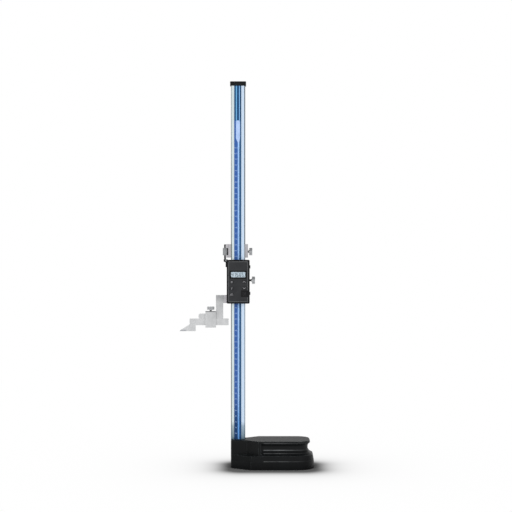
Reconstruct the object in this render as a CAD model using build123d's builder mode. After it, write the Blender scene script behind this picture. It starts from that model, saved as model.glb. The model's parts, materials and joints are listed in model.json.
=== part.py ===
"""Digital height gauge for a measuring range of 1000 mm.

Frame: X to the right along the base, Y away from the user, Z up. The origin is the foot of the
column's axis in the plane on which the base stands. Sizes are millimetres.
"""
from build123d import *
import os

os.makedirs("parts", exist_ok=True)

# ------------------------------------------------------------------ clearances
SLIDE_GAP = 0.05        # a slide on its guide, each side
SCREW_GAP = 0.1         # a screw in its hole, on the radius
END_GAP = 0.1           # end play of a turning piece, each end
SOCKET_SHARE = 0.6      # depth of a socket in its screw head, as a share of the head
DRILL_SPARE = 1.0       # a blind hole is this much deeper than its screw
KEY_GAP = 0.25          # a key in its opening, each side

# ------------------------------------------------------------------ column and scale
COLUMN_WIDTH = 50.0
COLUMN_DEPTH = 25.0
COLUMN_EDGE = 2.0
COLUMN_TOP = 1336.0
COLUMN_SEAT = 6.0       # depth of the seat in the base
SCALE_WIDTH = 25.0
SCALE_X = -1.2
SCALE_GROOVE = 1.5
SCALE_THICKNESS = 1.0
CAP_OVERHANG = 3.0
CAP_HEIGHT = 15.0
CAP_ROUNDING = 3.0
CAP_SCREW_X = 14.0
CAP_SCREW_RADIUS = 2.5
CAP_SCREW_HEAD = 5.0    # head radius
CAP_SCREW_LENGTH = 28.0

# ------------------------------------------------------------------ base
BASE_LENGTH = 290.0
BASE_DEPTH = 175.0
BASE_HEIGHT = 97.0
NOSE_WIDTH = 72.0       # width of the left end
NOSE_TOP_WIDTH = 80.0
NOSE_CORNER = 10.0
FLANGE_SHOULDER = 45.0  # where the flange reaches its full depth
FLANGE_FACE = 27.0      # height of the upright face
FLANGE_HEIGHT = 47.0
FLANGE_INSET = 3.5      # how far the sloped part leans in
FLANGE_CORNER = 66.0
TOP_INSET = 12.5        # from the flange to the top plate, at the sides
TOP_END_INSET = 14.0
TOP_SHOULDER = 31.0
TOP_SHOULDER_END = 71.0
TOP_CORNER = 46.0       # radius of the top plate's right corners
TOP_EDGE = 2.0
GROOVE_LEFT = 80.0
GROOVE_DEPTH = 8.0
GROOVE_TOP = 91.0
GROOVE_COVE = 26.0      # radius of the flare into the flange
GROOVE_ROUNDING = 14.0  # radius under the top plate
RECESS_LEFT = 60.0
RECESS_DEPTH = 36.0
RECESS_WALL = 22.0
BOLT_X = 14.0
BOLT_RADIUS = 5.0
BOLT_HEAD_RADIUS = 8.0
BOLT_HEAD_HEIGHT = 10.0
BOLT_COUNTERBORE = 48.0
BOLT_GRIP = 20.0        # length in the column

# ------------------------------------------------------------------ slider frame
SLIDER_BOTTOM = 574.0
SLIDER_HEIGHT = 150.0
SLIDER_LEFT_CHEEK = 12.0
SLIDER_RIGHT_CHEEK = 9.0
SLIDER_BACK = 9.5
SLIDER_LIP = 4.5        # thickness of the front lips
SLIDER_LIP_REACH = 6.0  # how far the lips reach over the column's face
SLIDER_EDGE = 1.0
GIB_THICKNESS = 4.0
GIB_WIDTH = 18.0
GIB_END = 2.0           # the gib is this much shorter than the frame, each end
GIB_SCREW_RADIUS = 3.0
GIB_SCREW_HEAD = 5.5
GIB_SCREW_HEAD_HEIGHT = 5.0
GIB_SCREW_FROM_BOTTOM = 34.0
GIB_SCREW_FROM_TOP = 23.0
SLIDER_CLAMP_HEIGHT = 80.0   # clamp screw above the frame's bottom

# ------------------------------------------------------------------ thumb screws
THUMB_RADIUS = 13.0
THUMB_HEIGHT = 10.0
THUMB_EDGE = 1.2
THUMB_COLLAR = 6.0      # radius of the collar under the head
THUMB_COLLAR_HEIGHT = 2.0
THUMB_STEM = 3.5
THUMB_FLUTES = 30
THUMB_FLUTE_SIZE = 0.8
SLIDER_CLAMP_NECK = 10.6     # free stem between cheek and head
CARRIAGE_CLAMP_NECK = 4.5

# ------------------------------------------------------------------ carriage and fine adjustment
CARRIAGE_ABOVE_SLIDER = 9.5
CARRIAGE_HEIGHT = 47.5
CARRIAGE_LEFT_ARM = 18.5     # from the column's side to the fork's end
CARRIAGE_RIGHT_CHEEK = 9.65
CARRIAGE_BACK = 7.5
CARRIAGE_LIP = 3.0
CARRIAGE_LIP_REACH = 2.5
CARRIAGE_FORK_DEPTH = 20.0
CARRIAGE_EDGE = 1.0
CARRIAGE_RING = 8.0          # ring wall left of the column
PAD_THICKNESS = 3.0
PAD_SIZE = 18.0
NUT_RADIUS = 8.0
NUT_HEIGHT = 26.0
NUT_FLUTES = 30
NUT_FLUTE_SIZE = 0.6
FORK_BOTTOM_ARM = 8.0
FORK_ROOM = 3.0              # free room behind the nut
SPINDLE_RADIUS = 3.25
SPINDLE_OUT = 20.8           # spindle axis from the column's left side
SPINDLE_NECK = 2.0
SPINDLE_NECK_HEIGHT = 5.0
SPINDLE_ABOVE_NUT = 12.5
SPINDLE_POINT = 1.0
NOTCH_GAP = 0.4

# ------------------------------------------------------------------ spindle bracket
LUG_HEIGHT = 27.5
LUG_TOP_ABOVE_SLIDER = 3.6
LUG_ARM_HEIGHT = 8.0
LUG_SLOPE = 3.0              # rise of the arm's underside
LUG_WALL = 1.5               # wall outside the spindle
LUG_DEPTH = 16.0
LUG_THICKNESS = 6.7
LUG_EDGE = 0.8
LUG_BOLT_RADIUS = 1.75
LUG_BOLT_HEAD = 3.2
LUG_BOLT_LENGTH = 14.0
LUG_BOLT_PITCH = 9.0
LUG_BOLT_FROM_BOTTOM = 5.0
CROSS_SCREW_RADIUS = 1.5
CROSS_SCREW_HEAD = 3.8
CROSS_SCREW_HEAD_HEIGHT = 2.6
CROSS_SCREW_LENGTH = 13.0

# ------------------------------------------------------------------ display unit
UNIT_WIDTH = 80.0
UNIT_X = 0.6
UNIT_CORNER = 4.0
UNIT_OVER = 1.0              # how far the unit stands below the frame
UNIT_OVER_TOP = 2.0          # and above it
BACK_SHELL_DEPTH = 11.0
FRONT_SHELL_DEPTH = 7.0
SHELL_WALL = 2.0
SHELL_FLOOR = 2.0
SHELL_TONGUE = 1.0
SHELL_EDGE = 1.6
BEZEL = 6.0                  # rim round the face plate
FACE_RECESS = 1.2
FACE_THICKNESS = 0.8
FACE_CORNER = 2.5
FRONT_WALL = 1.8             # front shell's wall behind the face plate
WINDOW_WIDTH = 60.0
WINDOW_HEIGHT = 28.0
WINDOW_DOWN = 52.0           # window centre below the unit's top
WINDOW_LEDGE = 2.0
WINDOW_THICKNESS = 1.5
WINDOW_CORNER = 1.5
LCD_GAP = 0.3
LCD_THICKNESS = 2.4
LCD_MARGIN = 1.0
BOARD_THICKNESS = 1.6
BOARD_MARGIN = 1.5
BOARD_LIFT = 3.0             # board above the back shell's floor
POST_RADIUS = 3.0
POST_FROM_SIDE = 12.5
POST_FROM_END = 40.0
CONNECTOR_WIDTH = 2.5
READER_WIDTH = 34.0
READER_HEIGHT = 100.0
READER_THICKNESS = 1.0
READER_GAP = 0.3
HOUSING_SCREW_RADIUS = 1.5
HOUSING_SCREW_HEAD = 2.8
HOUSING_SCREW_HEAD_HEIGHT = 1.6
HOUSING_SCREW_GRIP = 8.0
HOUSING_SCREW_FROM_END = 10.0
HOUSING_SCREW_IN = 4.5       # from the frame's side to the screw

# ------------------------------------------------------------------ keys
KEY_WIDTH = 15.0
KEY_HEIGHT = 10.0
KEY_CORNER = 2.0
KEY_PROUD = 0.6              # above the face plate
KEY_FLANGE = 1.2             # flange beyond the cap, each side
KEY_FLANGE_THICKNESS = 1.2
KEY_STEM = 2.0               # stem radius
KEY_STROKE = 0.8
KEY_STROKE_SPARE = 0.2
LEFT_KEYS_X = -22.3
RIGHT_KEYS_X = 21.5
LEFT_KEYS_DOWN = (78.0, 100.0, 121.0)
RIGHT_KEYS_DOWN = (77.0, 99.0)
MAT_THICKNESS = 1.6

# ------------------------------------------------------------------ battery
BATTERY_RADIUS = 10.0
BATTERY_THICKNESS = 3.2
BATTERY_X = 21.5
BATTERY_DOWN = 118.5
BATTERY_GAP = 0.25
CUP_WALL = 1.2
CONTACT_THICKNESS = 0.4
CONTACT_RADIUS = 7.0
COVER_THICKNESS = 1.6
COVER_HEIGHT = 24.0
COVER_MARGIN = 1.5           # cover beyond the battery, left
COVER_RIB_COUNT = 4
COVER_RIB_PITCH = 3.0
COVER_RIB_WIDTH = 1.0
COVER_RIB_HEIGHT = 0.4

# ------------------------------------------------------------------ jaw and scriber
JAW_THICKNESS = 12.0
JAW_HEIGHT = 28.0            # upper arm
JAW_LEG = 25.2
JAW_OUT = 52.7               # leg's outer side from the column's side
JAW_DROP = 54.5              # slider bottom to the beam's underside
BEAM_HEIGHT = 17.3
BEAM_LENGTH = 61.0           # beam beyond the leg
BEAM_END = 6.0
JAW_FILLET = 3.0
JAW_EDGE = 1.0
EAR_LENGTH = 12.0
EAR_FRONT = 4.0
EAR_BACK = 6.0
JAW_SCREW_RADIUS = 2.0
JAW_SCREW_HEAD = 3.5
JAW_SCREW_HEAD_HEIGHT = 3.5
JAW_SCREW_LENGTH = 12.0
JAW_SCREW_PITCH = 14.0
SCRIBER_HEIGHT = 23.0
SCRIBER_LENGTH = 136.4       # straight bar
SCRIBER_TAIL = 8.6           # from the column's side to the tail
SCRIBER_DROP = 20.8          # bar's underside to the measuring face
SCRIBER_FACE = 56.0          # length of the measuring face
TIP_SLOPE_RISE = 3.0         # the slope starts this high on the bar's end
TIP_NOSE = 2.4               # height of the blunt end
TIP_REACH = 35.0             # tip beyond the bar's end
TIP_THICKNESS = 3.0
TIP_TAPER = 45.0             # length of the thinned part
CARBIDE_LENGTH = 23.0
CARBIDE_HEIGHT = 5.5
CLAMP_WIDTH = 36.5
CLAMP_GAP = 0.3              # clamp beside the jaw's leg
CLAMP_WALL = 8.0
CLAMP_SIDE = 5.0
CLAMP_EDGE = 1.0
CLAMP_ROOM = 0.9             # free height over the beam
CLAMP_NECK = 5.3             # free stem between clamp and head

# ------------------------------------------------------------------ places that follow
column_side = COLUMN_WIDTH / 2
column_face = COLUMN_DEPTH / 2
base_left = -column_side
column_foot = BASE_HEIGHT - COLUMN_SEAT
scale_face = -column_face + SCALE_GROOVE - SCALE_THICKNESS

slider_top = SLIDER_BOTTOM + SLIDER_HEIGHT
slider_left = -column_side - SLIDE_GAP - SLIDER_LEFT_CHEEK
gib_outer = column_side + SLIDE_GAP + GIB_THICKNESS
slider_right = gib_outer + SLIDER_RIGHT_CHEEK
slider_back = column_face + SLIDE_GAP + SLIDER_BACK
slider_front = -column_face - SLIDE_GAP - SLIDER_LIP
slider_clamp_z = SLIDER_BOTTOM + SLIDER_CLAMP_HEIGHT

carriage_bottom = slider_top + CARRIAGE_ABOVE_SLIDER
carriage_left = -column_side - CARRIAGE_LEFT_ARM
carriage_right = column_side + SLIDE_GAP + CARRIAGE_RIGHT_CHEEK
carriage_back = column_face + SLIDE_GAP + CARRIAGE_BACK
carriage_front = -column_face - SLIDE_GAP - CARRIAGE_LIP
nut_bottom = carriage_bottom + FORK_BOTTOM_ARM + END_GAP
nut_top = nut_bottom + NUT_HEIGHT
carriage_clamp_z = (nut_bottom + nut_top) / 2
spindle_x = -column_side - SPINDLE_OUT

lug_top = slider_top + LUG_TOP_ABOVE_SLIDER
lug_bottom = lug_top - LUG_HEIGHT
cross_screw_x = spindle_x + SPINDLE_NECK + CROSS_SCREW_RADIUS + SLIDE_GAP
cross_screw_z = lug_top - LUG_ARM_HEIGHT / 2

unit_bottom = SLIDER_BOTTOM - UNIT_OVER
unit_top = slider_top + UNIT_OVER_TOP
unit_height = unit_top - unit_bottom
unit_z = (unit_bottom + unit_top) / 2
unit_right = UNIT_X + UNIT_WIDTH / 2
unit_split = slider_front - BACK_SHELL_DEPTH
unit_face = unit_split - FRONT_SHELL_DEPTH
recess_floor = unit_face + FACE_RECESS
front_wall_back = recess_floor + FRONT_WALL
plate_face = recess_floor - FACE_THICKNESS
board_back = slider_front - SHELL_FLOOR - BOARD_LIFT
board_front = board_back - BOARD_THICKNESS
window_z = unit_top - WINDOW_DOWN
window_face = plate_face + LCD_GAP
window_back = window_face + WINDOW_THICKNESS
lcd_front = window_back + LCD_GAP
lcd_back = lcd_front + LCD_THICKNESS
mat_front = board_front - MAT_THICKNESS
battery_z = unit_top - BATTERY_DOWN
cover_back = unit_face + COVER_THICKNESS
battery_front = cover_back + BATTERY_GAP
battery_back = battery_front + BATTERY_THICKNESS
cup_floor = battery_back + CONTACT_THICKNESS
cover_left = BATTERY_X - BATTERY_RADIUS - COVER_MARGIN

jaw_left = -column_side - JAW_OUT
jaw_top = SLIDER_BOTTOM + JAW_HEIGHT
beam_bottom = SLIDER_BOTTOM - JAW_DROP
beam_top = beam_bottom + BEAM_HEIGHT
beam_left = jaw_left - BEAM_LENGTH
scriber_top = beam_bottom - SLIDE_GAP
scriber_bottom = scriber_top - SCRIBER_HEIGHT
scriber_tail = -column_side - SCRIBER_TAIL
scriber_left = scriber_tail - SCRIBER_LENGTH
face_z = scriber_bottom - SCRIBER_DROP
tip_x = scriber_left - TIP_REACH
clamp_right = jaw_left - CLAMP_GAP
clamp_left = clamp_right - CLAMP_WIDTH
clamp_bottom = scriber_bottom - SLIDE_GAP * 2 - CLAMP_WALL
clamp_top = beam_top + CLAMP_ROOM + CLAMP_WALL
clamp_x = (clamp_left + clamp_right) / 2

# ------------------------------------------------------------------ shared shapes


def side_plane(x, y, z, towards=1):
    """Plane whose normal is +X (or -X), at a point."""
    return Plane(origin=(x, y, z), x_dir=(0, towards, 0), z_dir=(towards, 0, 0))


def front_plane(x, y, z):
    """Plane whose normal points to the user, with +X to the right and Z up."""
    return Plane(origin=(x, y, z), x_dir=(1, 0, 0), z_dir=(0, -1, 0))


def mirrored_outline(half_points, end_radius, nose_radius):
    """Plan outline, the same on both sides of the X axis, with rounded ends."""
    other_half = [(x, -y) for x, y in reversed(half_points)]
    with BuildSketch() as outline:
        with BuildLine():
            Polyline(*half_points, *other_half, close=True)
        make_face()
        fillet(outline.vertices().group_by(Axis.X)[-1], end_radius)
        fillet(outline.vertices().group_by(Axis.X)[0], nose_radius)
    return outline.sketch


def thumb_screw(seat, neck, reach):
    """Fluted thumb screw: the stem goes `reach` below the seat, the head stands `neck` over it."""
    head = seat.offset(neck)
    with BuildPart() as screw:
        with BuildSketch(seat.offset(-reach)):
            Circle(THUMB_STEM)
        extrude(amount=reach + neck)
        with BuildSketch(head.offset(-THUMB_COLLAR_HEIGHT)):
            Circle(THUMB_COLLAR)
        extrude(amount=THUMB_COLLAR_HEIGHT)
        with BuildSketch(head):
            Circle(THUMB_RADIUS)
            with PolarLocations(THUMB_RADIUS, THUMB_FLUTES):
                Rectangle(THUMB_FLUTE_SIZE, THUMB_FLUTE_SIZE, rotation=45, mode=Mode.SUBTRACT)
        extrude(amount=THUMB_HEIGHT)
        with BuildSketch(head.offset(THUMB_HEIGHT)):
            Circle(THUMB_RADIUS - THUMB_EDGE)
        extrude(amount=THUMB_EDGE / 2)
    return screw.part


def headed_screws(planes, head_radius, head_height, shank_radius, shank_length, socket_size):
    """Cylinder-head screws: each head stands on its plane and the shank goes below it."""
    with BuildPart() as screws:
        with BuildSketch(*planes):
            Circle(head_radius)
        extrude(amount=head_height)
        with BuildSketch(*planes):
            Circle(shank_radius)
        extrude(amount=-shank_length)
        with BuildSketch(*[plane.offset(head_height) for plane in planes]):
            RegularPolygon(socket_size / 2, 6, major_radius=False)
        extrude(amount=-head_height * SOCKET_SHARE, mode=Mode.SUBTRACT)
    return screws.part


def flat_head_screws(planes, head_radius, shank_radius, length):
    """Countersunk screws whose heads are flush with their planes, with a cross slot."""
    head_depth = head_radius - shank_radius
    with BuildPart() as screws:
        with BuildSketch(*planes):
            Circle(head_radius)
        extrude(amount=-head_depth, taper=45)
        with BuildSketch(*[plane.offset(-head_depth) for plane in planes]):
            Circle(shank_radius)
        extrude(amount=head_depth - length)
        with BuildSketch(*planes):
            Rectangle(head_radius * 1.3, head_radius * 0.25)
            Rectangle(head_radius * 0.25, head_radius * 1.3)
        extrude(amount=-head_depth / 2, mode=Mode.SUBTRACT)
    return screws.part


# ------------------------------------------------------------------ base casting
base_right = base_left + BASE_LENGTH
base_half = BASE_DEPTH / 2
top_half = base_half - TOP_INSET
top_right = base_right - TOP_END_INSET
ledge_half = base_half - FLANGE_INSET
ledge_right = base_right - FLANGE_INSET

flange_outline = mirrored_outline(
    [(base_left, NOSE_WIDTH / 2), (FLANGE_SHOULDER, base_half), (base_right, base_half)],
    FLANGE_CORNER, NOSE_CORNER)
top_outline = mirrored_outline(
    [(base_left, NOSE_WIDTH / 2), (TOP_SHOULDER, NOSE_TOP_WIDTH / 2),
     (TOP_SHOULDER_END, top_half), (top_right, top_half)],
    TOP_CORNER, NOSE_CORNER)
flare_outline = mirrored_outline(
    [(GROOVE_LEFT, ledge_half), (ledge_right, ledge_half)],
    FLANGE_CORNER - FLANGE_INSET, NOSE_CORNER)
recess_outline = mirrored_outline(
    [(RECESS_LEFT, base_half - RECESS_WALL), (base_right - RECESS_WALL, base_half - RECESS_WALL)],
    FLANGE_CORNER - RECESS_WALL, NOSE_CORNER)

with BuildPart() as base_casting:
    with BuildSketch():
        add(flange_outline)
    extrude(amount=FLANGE_FACE)
    with BuildSketch(Plane.XY.offset(FLANGE_FACE)):
        add(flange_outline)
    with BuildSketch(Plane.XY.offset(FLANGE_HEIGHT)):
        add(flange_outline)
        offset(amount=-FLANGE_INSET)
    loft(ruled=True)
    with BuildSketch(Plane.XY.offset(FLANGE_HEIGHT)):
        add(flare_outline)
    extrude(amount=GROOVE_COVE)
    with BuildSketch(Plane.XY.offset(FLANGE_FACE)):
        add(top_outline)
    extrude(amount=BASE_HEIGHT - FLANGE_FACE)
    chamfer(base_casting.faces().sort_by(Axis.Z)[-1].outer_wire().edges(), TOP_EDGE)
    # Finger groove: a cove section swept along both sides and round the right end.
    with BuildLine() as groove_path:
        FilletPolyline((GROOVE_LEFT, -top_half), (top_right, -top_half), (top_right, top_half),
                       (GROOVE_LEFT, top_half), radius=TOP_CORNER)
    groove_start = Plane(origin=(GROOVE_LEFT, -top_half, 0), x_dir=(0, 1, 0), z_dir=(1, 0, 0))
    with BuildSketch(groove_start):
        with BuildLine():
            outside = GROOVE_DEPTH - GROOVE_COVE - 1
            cove_foot = (GROOVE_DEPTH - GROOVE_COVE, FLANGE_HEIGHT)
            cove_head = (GROOVE_DEPTH, FLANGE_HEIGHT + GROOVE_COVE)
            Line((outside, FLANGE_HEIGHT), cove_foot)
            TangentArc(cove_foot, cove_head, tangent=(1, 0))
            Line(cove_head, (GROOVE_DEPTH, GROOVE_TOP - GROOVE_ROUNDING))
            TangentArc((GROOVE_DEPTH, GROOVE_TOP - GROOVE_ROUNDING),
                       (GROOVE_DEPTH - GROOVE_ROUNDING, GROOVE_TOP), tangent=(0, 1))
            Line((GROOVE_DEPTH - GROOVE_ROUNDING, GROOVE_TOP), (outside, GROOVE_TOP))
            Line((outside, GROOVE_TOP), (outside, FLANGE_HEIGHT))
        make_face()
    sweep(path=groove_path.wire(), mode=Mode.SUBTRACT)
    with BuildSketch():
        add(recess_outline)
    extrude(amount=RECESS_DEPTH, mode=Mode.SUBTRACT)
    with BuildSketch(Plane.XY.offset(column_foot)):
        with Locations((-SLIDE_GAP, 0)):
            Rectangle(COLUMN_WIDTH + 4 * SLIDE_GAP, COLUMN_DEPTH + 2 * SLIDE_GAP)
    extrude(amount=COLUMN_SEAT, mode=Mode.SUBTRACT)
    with Locations(*[Plane(origin=(x, 0, 0), z_dir=(0, 0, -1)) for x in (-BOLT_X, BOLT_X)]):
        CounterBoreHole(BOLT_RADIUS + SCREW_GAP, BOLT_HEAD_RADIUS + 8 * SCREW_GAP,
                        BOLT_COUNTERBORE, depth=BASE_HEIGHT)
base_casting.part.label = "base_casting"

column_bolts = headed_screws(
    [Plane(origin=(x, 0, BOLT_COUNTERBORE), z_dir=(0, 0, -1)) for x in (-BOLT_X, BOLT_X)],
    BOLT_HEAD_RADIUS, BOLT_HEAD_HEIGHT, BOLT_RADIUS,
    column_foot + BOLT_GRIP - BOLT_COUNTERBORE, BOLT_HEAD_RADIUS)
column_bolts.label = "column_bolts"

# ------------------------------------------------------------------ column, scale and cap
with BuildPart() as column:
    with BuildSketch(Plane.XY.offset(column_foot)) as column_section:
        Rectangle(COLUMN_WIDTH, COLUMN_DEPTH)
        chamfer(column_section.vertices(), COLUMN_EDGE)
        with Locations((SCALE_X, -column_face)):
            Rectangle(SCALE_WIDTH, 2 * SCALE_GROOVE, mode=Mode.SUBTRACT)
    extrude(amount=COLUMN_TOP - column_foot)
    with Locations((-CAP_SCREW_X, 0, COLUMN_TOP), (CAP_SCREW_X, 0, COLUMN_TOP)):
        Hole(CAP_SCREW_RADIUS + SCREW_GAP, depth=CAP_SCREW_LENGTH - CAP_HEIGHT + DRILL_SPARE)
    with Locations(*[Plane(origin=(x, 0, column_foot), z_dir=(0, 0, -1))
                     for x in (-BOLT_X, BOLT_X)]):
        Hole(BOLT_RADIUS + SCREW_GAP, depth=BOLT_GRIP + DRILL_SPARE)
column.part.label = "column"

with BuildPart() as scale_strip:
    with BuildSketch(Plane.XY.offset(BASE_HEIGHT + 1)):
        with Locations((SCALE_X, scale_face + SCALE_THICKNESS / 2)):
            Rectangle(SCALE_WIDTH - 2 * SLIDE_GAP, SCALE_THICKNESS)
    extrude(amount=COLUMN_TOP - BASE_HEIGHT - 1)
scale_strip.part.label = "scale_strip"

cap_planes = [Plane.XY.offset(COLUMN_TOP + CAP_HEIGHT).move(Location((x, 0, 0)))
              for x in (-CAP_SCREW_X, CAP_SCREW_X)]
with BuildPart() as column_cap:
    with BuildSketch(Plane.XY.offset(COLUMN_TOP)):
        RectangleRounded(COLUMN_WIDTH + 2 * CAP_OVERHANG, COLUMN_DEPTH + 2 * CAP_OVERHANG,
                         CAP_ROUNDING)
    extrude(amount=CAP_HEIGHT)
    chamfer(column_cap.faces().sort_by(Axis.Z)[-1].edges(), CAP_ROUNDING / 2)
    with Locations(*cap_planes):
        CounterSinkHole(CAP_SCREW_RADIUS + SCREW_GAP, CAP_SCREW_HEAD + SCREW_GAP,
                        depth=CAP_HEIGHT, counter_sink_angle=90)
column_cap.part.label = "column_cap"

cap_screws = flat_head_screws(cap_planes, CAP_SCREW_HEAD, CAP_SCREW_RADIUS, CAP_SCREW_LENGTH)
cap_screws.label = "cap_screws"

# ------------------------------------------------------------------ carriage
pad_outer = column_side + SLIDE_GAP + PAD_THICKNESS
with BuildPart() as carriage_block:
    with BuildSketch(Plane.XY.offset(carriage_bottom)):
        ring_left = -column_side - CARRIAGE_RING
        ring_width = carriage_right - ring_left
        ring_depth = carriage_back - carriage_front
        with Locations((ring_left + ring_width / 2, carriage_front + ring_depth / 2)):
            RectangleRounded(ring_width, ring_depth, CARRIAGE_EDGE)
        with Locations(((carriage_left + ring_left) / 2 + 1, 0)):
            Rectangle(ring_left - carriage_left + 2, CARRIAGE_FORK_DEPTH)
        Rectangle(COLUMN_WIDTH + 2 * SLIDE_GAP, COLUMN_DEPTH + 2 * SLIDE_GAP, mode=Mode.SUBTRACT)
        with Locations((0, carriage_front)):
            Rectangle(COLUMN_WIDTH - 2 * CARRIAGE_LIP_REACH, 4 * CARRIAGE_LIP, mode=Mode.SUBTRACT)
        with Locations((spindle_x, 0)):
            Circle(SPINDLE_RADIUS + NOTCH_GAP, mode=Mode.SUBTRACT)
    extrude(amount=CARRIAGE_HEIGHT)
    # Window of the fork, open to the left, round at its inner end.
    with BuildSketch(front_plane(spindle_x, 0, carriage_clamp_z)):
        window_reach = NUT_RADIUS + FORK_ROOM
        Rectangle(window_reach, NUT_HEIGHT + 2 * END_GAP, align=(Align.MIN, Align.CENTER))
        Rectangle(2 * window_reach, NUT_HEIGHT + 2 * END_GAP, align=(Align.MAX, Align.CENTER))
    extrude(amount=carriage_back, both=True, mode=Mode.SUBTRACT)
    with BuildSketch(side_plane(column_side, 0, carriage_clamp_z)):
        Rectangle(PAD_SIZE + 2 * SCREW_GAP, PAD_SIZE + 2 * SCREW_GAP)
    extrude(amount=SLIDE_GAP + PAD_THICKNESS, mode=Mode.SUBTRACT)
    with BuildSketch(side_plane(column_side, 0, carriage_clamp_z)):
        Circle(THUMB_STEM + SCREW_GAP)
    extrude(amount=carriage_right, mode=Mode.SUBTRACT)
carriage_block.part.label = "carriage_block"

with BuildPart() as carriage_pad:
    with BuildSketch(side_plane(column_side + SLIDE_GAP, 0, carriage_clamp_z)):
        Rectangle(PAD_SIZE, PAD_SIZE)
    extrude(amount=PAD_THICKNESS)
carriage_pad.part.label = "carriage_pad"

carriage_clamp_screw = thumb_screw(side_plane(carriage_right, 0, carriage_clamp_z),
                                   CARRIAGE_CLAMP_NECK, carriage_right - pad_outer - SLIDE_GAP)
carriage_clamp_screw.label = "carriage_clamp_screw"

with BuildPart() as adjust_nut:
    with BuildSketch(Plane.XY.offset(nut_bottom)):
        with Locations((spindle_x, 0)):
            Circle(NUT_RADIUS)
            with PolarLocations(NUT_RADIUS, NUT_FLUTES):
                Rectangle(NUT_FLUTE_SIZE, NUT_FLUTE_SIZE, rotation=45, mode=Mode.SUBTRACT)
            Circle(SPINDLE_RADIUS + SCREW_GAP, mode=Mode.SUBTRACT)
    extrude(amount=NUT_HEIGHT)
adjust_nut.part.label = "adjust_nut"

# ------------------------------------------------------------------ slider frame and gib
ear_left = slider_left - EAR_LENGTH
ear_depth = EAR_FRONT + JAW_THICKNESS + EAR_BACK
ear_middle = (EAR_BACK - EAR_FRONT) / 2
jaw_screw_x = (ear_left + slider_left) / 2
jaw_screw_zs = [(SLIDER_BOTTOM + jaw_top) / 2 + side * JAW_SCREW_PITCH / 2 for side in (-1, 1)]
gib_screw_zs = (SLIDER_BOTTOM + GIB_SCREW_FROM_BOTTOM, slider_top - GIB_SCREW_FROM_TOP)
housing_screw_places = [(x, z) for x in (slider_left + HOUSING_SCREW_IN,
                                         slider_right - HOUSING_SCREW_IN)
                        for z in (SLIDER_BOTTOM + HOUSING_SCREW_FROM_END,
                                  slider_top - HOUSING_SCREW_FROM_END)]
lug_bolt_zs = [lug_bottom + LUG_BOLT_FROM_BOTTOM + step * LUG_BOLT_PITCH for step in (0, 1)]

with BuildPart() as slider_frame:
    with BuildSketch(Plane.XY.offset(SLIDER_BOTTOM)):
        frame_width = slider_right - slider_left
        frame_depth = slider_back - slider_front
        with Locations((slider_left + frame_width / 2, slider_front + frame_depth / 2)):
            RectangleRounded(frame_width, frame_depth, SLIDER_EDGE)
        with Locations((-column_side - SLIDE_GAP, 0)):
            Rectangle(gib_outer + column_side + 2 * SLIDE_GAP, COLUMN_DEPTH + 2 * SLIDE_GAP,
                      align=(Align.MIN, Align.CENTER), mode=Mode.SUBTRACT)
        with Locations((0, slider_front)):
            Rectangle(COLUMN_WIDTH - 2 * SLIDER_LIP_REACH, 4 * SLIDER_LIP, mode=Mode.SUBTRACT)
    extrude(amount=SLIDER_HEIGHT)
    # Ear: two prongs that hold the jaw's tongue.
    with BuildSketch(Plane.XY.offset(SLIDER_BOTTOM)):
        with Locations((slider_left + 1, ear_middle)):
            Rectangle(EAR_LENGTH + 1, ear_depth, align=(Align.MAX, Align.CENTER))
    extrude(amount=JAW_HEIGHT)
    with BuildSketch(Plane.XY.offset(SLIDER_BOTTOM)):
        with Locations((slider_left, 0)):
            Rectangle(2 * EAR_LENGTH, JAW_THICKNESS, align=(Align.MAX, Align.CENTER))
    extrude(amount=JAW_HEIGHT, mode=Mode.SUBTRACT)
    ear_back_planes = [Plane(origin=(jaw_screw_x, JAW_THICKNESS / 2 + EAR_BACK, z),
                             x_dir=(-1, 0, 0), z_dir=(0, 1, 0)) for z in jaw_screw_zs]
    with Locations(*ear_back_planes):
        CounterBoreHole(JAW_SCREW_RADIUS + SCREW_GAP, JAW_SCREW_HEAD + SCREW_GAP,
                        JAW_SCREW_HEAD_HEIGHT, depth=EAR_BACK)
    with Locations(*[side_plane(slider_right, 0, z) for z in gib_screw_zs]):
        Hole(GIB_SCREW_RADIUS + SCREW_GAP, depth=SLIDER_RIGHT_CHEEK)
    with Locations(side_plane(slider_right, 0, slider_clamp_z)):
        Hole(THUMB_STEM + SCREW_GAP, depth=SLIDER_RIGHT_CHEEK)
    with Locations(*[front_plane(x, slider_front, z) for x, z in housing_screw_places]):
        Hole(HOUSING_SCREW_RADIUS + SCREW_GAP, depth=HOUSING_SCREW_GRIP + DRILL_SPARE)
    with Locations(*[side_plane(slider_left, 0, z, -1) for z in lug_bolt_zs]):
        Hole(LUG_BOLT_RADIUS + SCREW_GAP, depth=LUG_BOLT_LENGTH - LUG_THICKNESS + DRILL_SPARE)
slider_frame.part.label = "slider_frame"

with BuildPart() as slider_gib:
    with BuildSketch(side_plane(column_side + SLIDE_GAP, 0, (SLIDER_BOTTOM + slider_top) / 2)):
        Rectangle(GIB_WIDTH, SLIDER_HEIGHT - 2 * GIB_END)
    extrude(amount=GIB_THICKNESS)
slider_gib.part.label = "slider_gib"

gib_screws = headed_screws([side_plane(slider_right, 0, z) for z in gib_screw_zs],
                           GIB_SCREW_HEAD, GIB_SCREW_HEAD_HEIGHT, GIB_SCREW_RADIUS,
                           SLIDER_RIGHT_CHEEK, GIB_SCREW_HEAD)
gib_screws.label = "gib_screws"

slider_clamp_screw = thumb_screw(side_plane(slider_right, 0, slider_clamp_z),
                                 SLIDER_CLAMP_NECK, SLIDER_RIGHT_CHEEK - SLIDE_GAP)
slider_clamp_screw.label = "slider_clamp_screw"

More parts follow.
